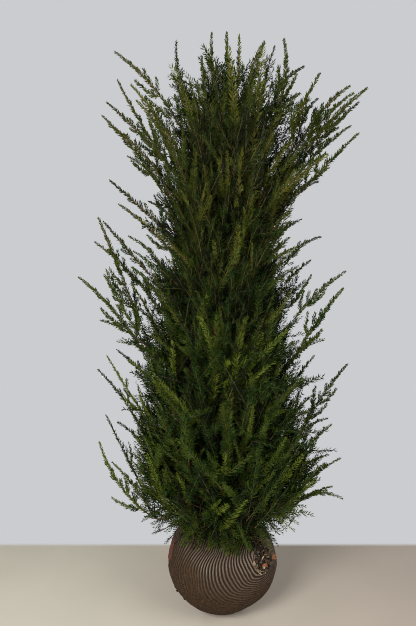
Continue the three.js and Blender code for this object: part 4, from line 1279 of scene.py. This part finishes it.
def crumpled(name, points_of, rings, spokes, closed_top=True, seed=1):
    u = np.linspace(0, 1, rings)
    a = np.linspace(0, 2 * np.pi, spokes, endpoint=False)
    U, A = np.meshgrid(u, a, indexing="ij")
    p, rib = points_of(U, A)
    v = p.reshape(-1, 3)
    i = np.arange(rings - 1)[:, None] * spokes
    j = np.arange(spokes)[None, :]
    j2 = (j + 1) % spokes
    q = np.stack([(i + j).ravel(), (i + j2).ravel(), (i + spokes + j2).ravel(), (i + spokes + j).ravel()], 1)
    f = np.concatenate([q[:, [0, 1, 2]], q[:, [0, 2, 3]]])
    if closed_top:
        v = np.concatenate([v, p[-1].mean(0)[None]])
        last = (rings - 1) * spokes
        s1 = np.arange(spokes)
        f = np.concatenate([f, np.stack([last + s1, last + (s1 + 1) % spokes, np.full(spokes, rings * spokes)], 1)])
        rib = np.concatenate([rib.ravel(), [0.4]])
    o = make_mesh(name, v, f, [JUTE], smooth=True, attrs={"rib": rib.ravel(), "soil": np.full(len(v), 0.25, np.float32)})
    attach(o, "root")
    return o


def scraps(rows, seed):
    """Short bent scraps of bark, string and cloth. Each row is place, direction, length, width, thickness and material."""
    rnd = np.random.RandomState(seed)
    verts, faces, mats = [], [], []
    for at, way, out, length, width, thick, mat in rows:
        side = unit(np.cross(way, out))
        n = 4
        bend = rnd.uniform(-0.3, 0.9)
        twist = rnd.uniform(-0.5, 0.5)
        for k in range(n + 1):
            u = k / n - 0.5
            c = at + way * length * u - out * bend * length * u * u * 1.4
            a = twist * u * 2
            sd = side * math.cos(a) + out * math.sin(a)
            up = out * math.cos(a) - side * math.sin(a)
            w = width * (1 - 0.75 * abs(u) ** 1.5 * 2) * rnd.uniform(0.8, 1.15)
            t = thick
            verts += [c + sd * w / 2 + up * t / 2, c - sd * w / 2 + up * t / 2, c - sd * w / 2 - up * t / 2, c + sd * w / 2 - up * t / 2]
        b0 = len(verts) - 4 * (n + 1)
        for k in range(n):
            i = b0 + 4 * k
            for j in range(4):
                j2 = (j + 1) % 4
                faces += [(i + j, i + j2, i + 4 + j2), (i + j, i + 4 + j2, i + 4 + j)]
        e = b0 + 4 * n
        faces += [(b0, b0 + 2, b0 + 1), (b0, b0 + 3, b0 + 2), (e, e + 1, e + 2), (e, e + 2, e + 3)]
        mats += [mat] * (8 * n + 4)
    return np.array(verts), np.array(faces), np.array(mats)


def gather_mesh():
    """The opening of the wrap on the ball's shoulder, full of dark soil and roots, with its loose end and scraps of bark."""
    rnd = np.random.RandomState(77)
    rings, spokes = 34, 90
    u = np.linspace(0.02, 1, rings)
    a = np.linspace(0, 2 * np.pi, spokes, endpoint=False)
    U, A = np.meshgrid(u, a, indexing="ij")
    reach = 0.045 * (1 + 0.12 * np.sin(A * 2 + 0.6) + 0.08 * np.sin(A * 3 + 2.0) + 0.05 * np.sin(A * 7) + 0.6 * np.clip(np.sin(A + 0.25), 0, 1) ** 3)
    r = U * reach
    around = np.cos(A)[..., None] * G_RIGHT + np.sin(A)[..., None] * G_UP
    d = unit(GATHER * 0.2275 + around * r[..., None])
    flat = (d * 0.2275).reshape(-1, 3)
    lumps = wobble(flat, 150, 5, 3).reshape(U.shape)
    rough = np.abs(wobble(flat, 420, 6, 3)).reshape(U.shape)
    h = (0.0075 + 0.007 * lumps + 0.006 * rough) * np.clip((1 - U) / 0.3, 0, 1) ** 0.6 - 0.004 * np.clip((U - 0.85) / 0.15, 0, 1)
    p = d * (ball_radius(d) + h)[..., None] + np.array([0, 0, BALL_MIDDLE * MM])
    v = p.reshape(-1, 3)
    i = np.arange(rings - 1)[:, None] * spokes
    j = np.arange(spokes)[None, :]
    j2 = (j + 1) % spokes
    q = np.stack([(i + j).ravel(), (i + spokes + j).ravel(), (i + spokes + j2).ravel(), (i + j2).ravel()], 1)
    f = np.concatenate([q[:, [0, 1, 2]], q[:, [0, 2, 3]]])
    v = np.concatenate([v, p[0].mean(0)[None]])
    s1 = np.arange(spokes)
    f = np.concatenate([f, np.stack([np.full(spokes, len(v) - 1), s1, (s1 + 1) % spokes], 1)])
    index = np.zeros(len(f), int)

    def on_ball(x, y, lift):
        q = unit(GATHER * 0.2275 + G_RIGHT * x + G_UP * y)
        return q * (ball_radius(q[None])[0] + lift) + np.array([0, 0, BALL_MIDDLE * MM]), q

    rows = []
    for k in range(330):  # dark roots, clods and strings all over the opening
        aa = rnd.uniform(0, 6.283)
        rr = 0.045 * (1 + 0.6 * max(0.0, math.sin(aa + 0.25)) ** 3) * math.sqrt(rnd.uniform())
        at, out = on_ball(rr * math.cos(aa), rr * math.sin(aa), rnd.uniform(0.005, 0.019))
        way = unit(np.cross(out, rnd.normal(size=3)) + out * rnd.uniform(-0.2, 0.6))
        stringy = rnd.uniform() < 0.4
        rows.append((at, way, out, rnd.uniform(0.012, 0.026) if stringy else rnd.uniform(0.006, 0.016), rnd.uniform(0.0012, 0.0022) if stringy else rnd.uniform(0.004, 0.008),
                     0.0012 if stringy else rnd.uniform(0.002, 0.006), int(rnd.choice([1, 1, 1, 3, 3, 3, 2, 2, 4]))))
    for x, y, z, l, w, m, tilt in [(-0.012, 0.010, 0.022, 0.017, 0.0050, 5, 0.7), (-0.009, -0.018, 0.022, 0.022, 0.0120, 6, 0.1), (-0.001, -0.026, 0.018, 0.018, 0.0090, 6, -0.4),
                                   (-0.014, -0.027, 0.019, 0.013, 0.0060, 5, -0.3), (0.054, -0.012, 0.021, 0.026, 0.0110, 6, 0.5), (0.058, -0.020, 0.019, 0.018, 0.0080, 6, -0.6),
                                   (0.052, -0.004, 0.022, 0.018, 0.0050, 4, 1.1), (0.012, 0.012, 0.021, 0.016, 0.0050, 4, -0.4), (-0.020, 0.002, 0.018, 0.014, 0.0060, 2, 0.8),
                                   (0.020, 0.034, 0.018, 0.018, 0.0060, 4, 1.2), (0.028, 0.052, 0.015, 0.016, 0.0060, 3, 0.9)]:
        at, out = on_ball(x, y, z)
        way = unit(G_RIGHT * math.cos(tilt) + G_UP * math.sin(tilt) + out * 0.3)
        rows.append((at, way, out, l, w, 0.0022, m))
    for x, y, z, l, w in [(-0.197, -0.03, 0.098, 0.016, 0.011), (-0.165, -0.055, 0.052, 0.018, 0.010), (-0.190, -0.05, 0.090, 0.010, 0.008)]:  # clods hanging on the wrap
        q = unit(np.array([x, y, z - BALL_MIDDLE * MM]))
        at = q * (ball_radius(q[None])[0] + 0.006) + np.array([0, 0, BALL_MIDDLE * MM])
        at[2] = max(at[2], 0.010)
        rows.append((at, unit(np.cross(q, np.array([0.2, 1.0, 0.3]))), q, l, w, 0.007, 0))
    for k in range(26):  # the wrap's torn edge round the left and the foot of the opening
        aa = math.radians(rnd.uniform(120, 292))
        rr = rnd.uniform(0.043, 0.054)
        at, out = on_ball(rr * math.cos(aa), rr * math.sin(aa), rnd.uniform(0.004, 0.009))
        way = unit(-math.sin(aa) * G_RIGHT + math.cos(aa) * G_UP + rnd.normal(size=3) * 0.18)
        rows.append((at, way, out, rnd.uniform(0.018, 0.034), rnd.uniform(0.004, 0.008), 0.0022, int(rnd.choice([4, 4, 5, 3]))))
    # a faded red stripe of the wrap, on the ball's left shoulder
    U, V = np.meshgrid(np.linspace(0, 1, 9), np.linspace(0, 1, 30), indexing="ij")
    side = np.radians(183 + 13 * U + 3 * np.sin(5 * V) + (1 - 2 * U) * 4 * np.abs(2 * V - 1) ** 3)
    el = np.radians(6 + 22 * V)
    q = np.stack([np.cos(el) * np.cos(side), np.cos(el) * np.sin(side), np.sin(el)], -1)
    lift = 0.0038 - 0.004 * np.maximum(np.abs(2 * U - 1), np.abs(2 * V - 1)) ** 6 + 0.0008 * np.sin(V * 60)
    q = q * (ball_radius(q) + lift + wobble((q * ball_radius(q)[..., None]).reshape(-1, 3), 26, 20, 3).reshape(U.shape) * 0.0026)[..., None] + np.array([0, 0, BALL_MIDDLE * MM])
    i = (np.arange(8)[:, None] * 30 + np.arange(29)[None, :]).ravel() + len(v)
    sf = np.concatenate([np.stack([i, i + 30, i + 31], 1), np.stack([i, i + 31, i + 1], 1)])
    v, f, index = np.concatenate([v, q.reshape(-1, 3)]), np.concatenate([f, sf]), np.concatenate([index, np.full(len(sf), 7)])
    sv, sf, sm = scraps(rows, 5)
    v, f, index = np.concatenate([v, sv]), np.concatenate([f, sf + len(v)]), np.concatenate([index, sm])
    o = make_mesh("wrap_knot", v, f, GATHER_MATS, index, smooth=False)
    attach(o, "root")
    return o


def scrap_material(name, dark, light, scale=160):
    m, tree, bsdf = new_material(name)
    n = noise(tree, scale, 5, 0.7)
    r = ramp(tree, [(0.3, dark), (0.7, light)])
    tree.links.new(n.outputs["Fac"], r.inputs[0])
    tree.links.new(r.outputs[0], bsdf.inputs["Base Color"])
    bsdf.inputs["Roughness"].default_value = 0.9
    bsdf.inputs["Specular IOR Level"].default_value = 0.15
    return m


GATHER_MATS = [
    scrap_material("gather_soil", srgb(22, 17, 14), srgb(58, 48, 38)),
    scrap_material("scrap_black", srgb(24, 20, 18), srgb(50, 44, 40)),
    scrap_material("scrap_grey", srgb(50, 45, 41), srgb(88, 80, 73)),
    scrap_material("scrap_brown", srgb(54, 38, 24), srgb(92, 68, 46)),
    scrap_material("scrap_jute", srgb(78, 65, 52), srgb(124, 107, 88)),
    scrap_material("scrap_pale", srgb(124, 108, 90), srgb(172, 154, 132)),
    scrap_material("scrap_bark", srgb(98, 58, 38), srgb(158, 106, 76)),
    scrap_material("faded_red", srgb(66, 42, 34), srgb(116, 72, 60), 60),
]
knot = gather_mesh()
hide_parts("wrap_gather")


def neck_points(U, A):
    folds = np.sin(A * 13 + 1.5 * np.sin(A * 3)) * 0.5 + np.sin(A * 29) * 0.25
    r = np.interp(U, [0, 0.25, 0.6, 0.85, 1], [0.058, 0.056, 0.047, 0.041, 0.0385]) * (1 + 0.04 * folds * (1 - U))
    h = np.interp(U, [0, 0.25, 0.6, 0.85, 1], [0.0, 0.008, 0.019, 0.0255, 0.0235]) + 0.0015 * folds * U
    # the second value is painted light and shade for the collar's folds: light on their crests, dark in their hollows
    return np.stack([r * np.cos(A), r * np.sin(A), BALL_TOP * MM + 0.0006 + np.maximum(h, 0)], -1), 0.45 + 0.4 * folds


neck = crumpled("wrap_collar", neck_points, 18, 120, closed_top=False, seed=5)
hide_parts("wrap_neck")

# ------------------------------------------------------------------ stage, light, camera
scene = bpy.context.scene
floor_mat, tree, bsdf = new_material("floor")
N, L = tree.nodes, tree.links
fn = noise(tree, 1.3, 4, 0.5)
fr = ramp(tree, [(0.35, srgb(246, 246, 246)), (0.65, srgb(255, 255, 255))])
L.new(fn.outputs["Fac"], fr.inputs[0])
where = N.new("ShaderNodeTexCoord")
split = N.new("ShaderNodeSeparateXYZ")
L.new(where.outputs["Object"], split.inputs[0])
across_floor = N.new("ShaderNodeMapRange")
across_floor.inputs["From Min"].default_value = -0.8
across_floor.inputs["From Max"].default_value = 0.9
L.new(split.outputs["X"], across_floor.inputs["Value"])
# painted light: the floor's colour runs from lighter on the left to darker on the right, as the key light falls off
# across it
pale = ramp(tree, [(0.0, srgb(214, 210, 196)), (0.5, srgb(200, 191, 178)), (1.0, srgb(186, 175, 165))])
L.new(across_floor.outputs[0], pale.inputs[0])
tint = N.new("ShaderNodeMix")
tint.data_type = "RGBA"
tint.blend_type = "MULTIPLY"
tint.inputs[0].default_value = 1.0
L.new(pale.outputs[0], tint.inputs[6])
L.new(fr.outputs[0], tint.inputs[7])
L.new(tint.outputs[2], bsdf.inputs["Base Color"])
bsdf.inputs["Roughness"].default_value = 0.55
bsdf.inputs["Specular IOR Level"].default_value = 0.25
clear = N.new("ShaderNodeBsdfTransparent")
mixs = N.new("ShaderNodeMixShader")
coord = N.new("ShaderNodeTexCoord")
sep = N.new("ShaderNodeSeparateXYZ")
L.new(coord.outputs["Object"], sep.inputs[0])
fade = N.new("ShaderNodeMapRange")
fade.inputs["From Min"].default_value = 0.47
fade.inputs["From Max"].default_value = 0.50
L.new(sep.outputs["Y"], fade.inputs["Value"])
L.new(fade.outputs[0], mixs.inputs[0])
L.new(bsdf.outputs[0], mixs.inputs[1])
L.new(clear.outputs[0], mixs.inputs[2])
L.new(mixs.outputs[0], N["Material Output"].inputs[0])
fv = np.array([[-5, -5, 0], [5, -5, 0], [5, 1.2, 0], [-5, 1.2, 0]], float)
fv[:, 2] = -0.0005
floor = make_mesh("floor", fv, np.array([[0, 1, 2], [0, 2, 3]]), [floor_mat])
floor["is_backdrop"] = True

world = bpy.data.worlds.new("studio")
scene.world = world
world.use_nodes = True
bg = world.node_tree.nodes["Background"]
bg.inputs[0].default_value = srgb(203, 204, 207)
bg.inputs[1].default_value = 1.0
room = world.node_tree.nodes.new("ShaderNodeBackground")  # the light of the room itself, less than its pale wall
room.inputs[0].default_value = srgb(206, 203, 197)
room.inputs[1].default_value = 0.34
ray = world.node_tree.nodes.new("ShaderNodeLightPath")
pick = world.node_tree.nodes.new("ShaderNodeMixShader")
world.node_tree.links.new(ray.outputs["Is Camera Ray"], pick.inputs[0])
world.node_tree.links.new(room.outputs[0], pick.inputs[1])
world.node_tree.links.new(bg.outputs[0], pick.inputs[2])
world.node_tree.links.new(pick.outputs[0], world.node_tree.nodes["World Output"].inputs[0])


def area(name, loc, target, size, power, colour=(1, 1, 1), spread=180):
    data = bpy.data.lights.new(name, "AREA")
    data.shape = "RECTANGLE"
    data.size, data.size_y = size
    data.energy = power
    data.color = colour
    data.spread = math.radians(spread)
    o = bpy.data.objects.new(name, data)
    scene.collection.objects.link(o)
    o.location = loc
    from mathutils import Vector

    o.rotation_euler = (Vector(target) - Vector(loc)).to_track_quat("-Z", "Y").to_euler()
    return o


area("key", (-1.75, -3.3, 2.75), (0, 0, 1.1), (1.5, 1.5), 182, (1.0, 0.98, 0.94))
area("back", (-0.7, 3.6, 1.4), (0, 0, 1.5), (1.5, 1.9), 17, (1.0, 0.985, 0.96), spread=30)
area("fill", (2.6, -2.2, 2.2), (0, 0, 1.1), (2.4, 2.4), 84, (1.0, 0.985, 0.96))

cam_data = bpy.data.cameras.new("camera")
cam = bpy.data.objects.new("camera", cam_data)
scene.collection.objects.link(cam)
cam.location = (-0.058, -2.47, 1.661)
cam.rotation_euler = (math.radians(81), 0, 0)
cam_data.sensor_width = 36
cam_data.lens = 625.0 / 626.0 * 36
cam_data.clip_start, cam_data.clip_end = 0.05, 60
scene.camera = cam
scene.view_settings.view_transform = "Standard"
scene.cycles.filter_width = 1.0
scene.cycles.denoising_prefilter = "NONE"

low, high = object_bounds()
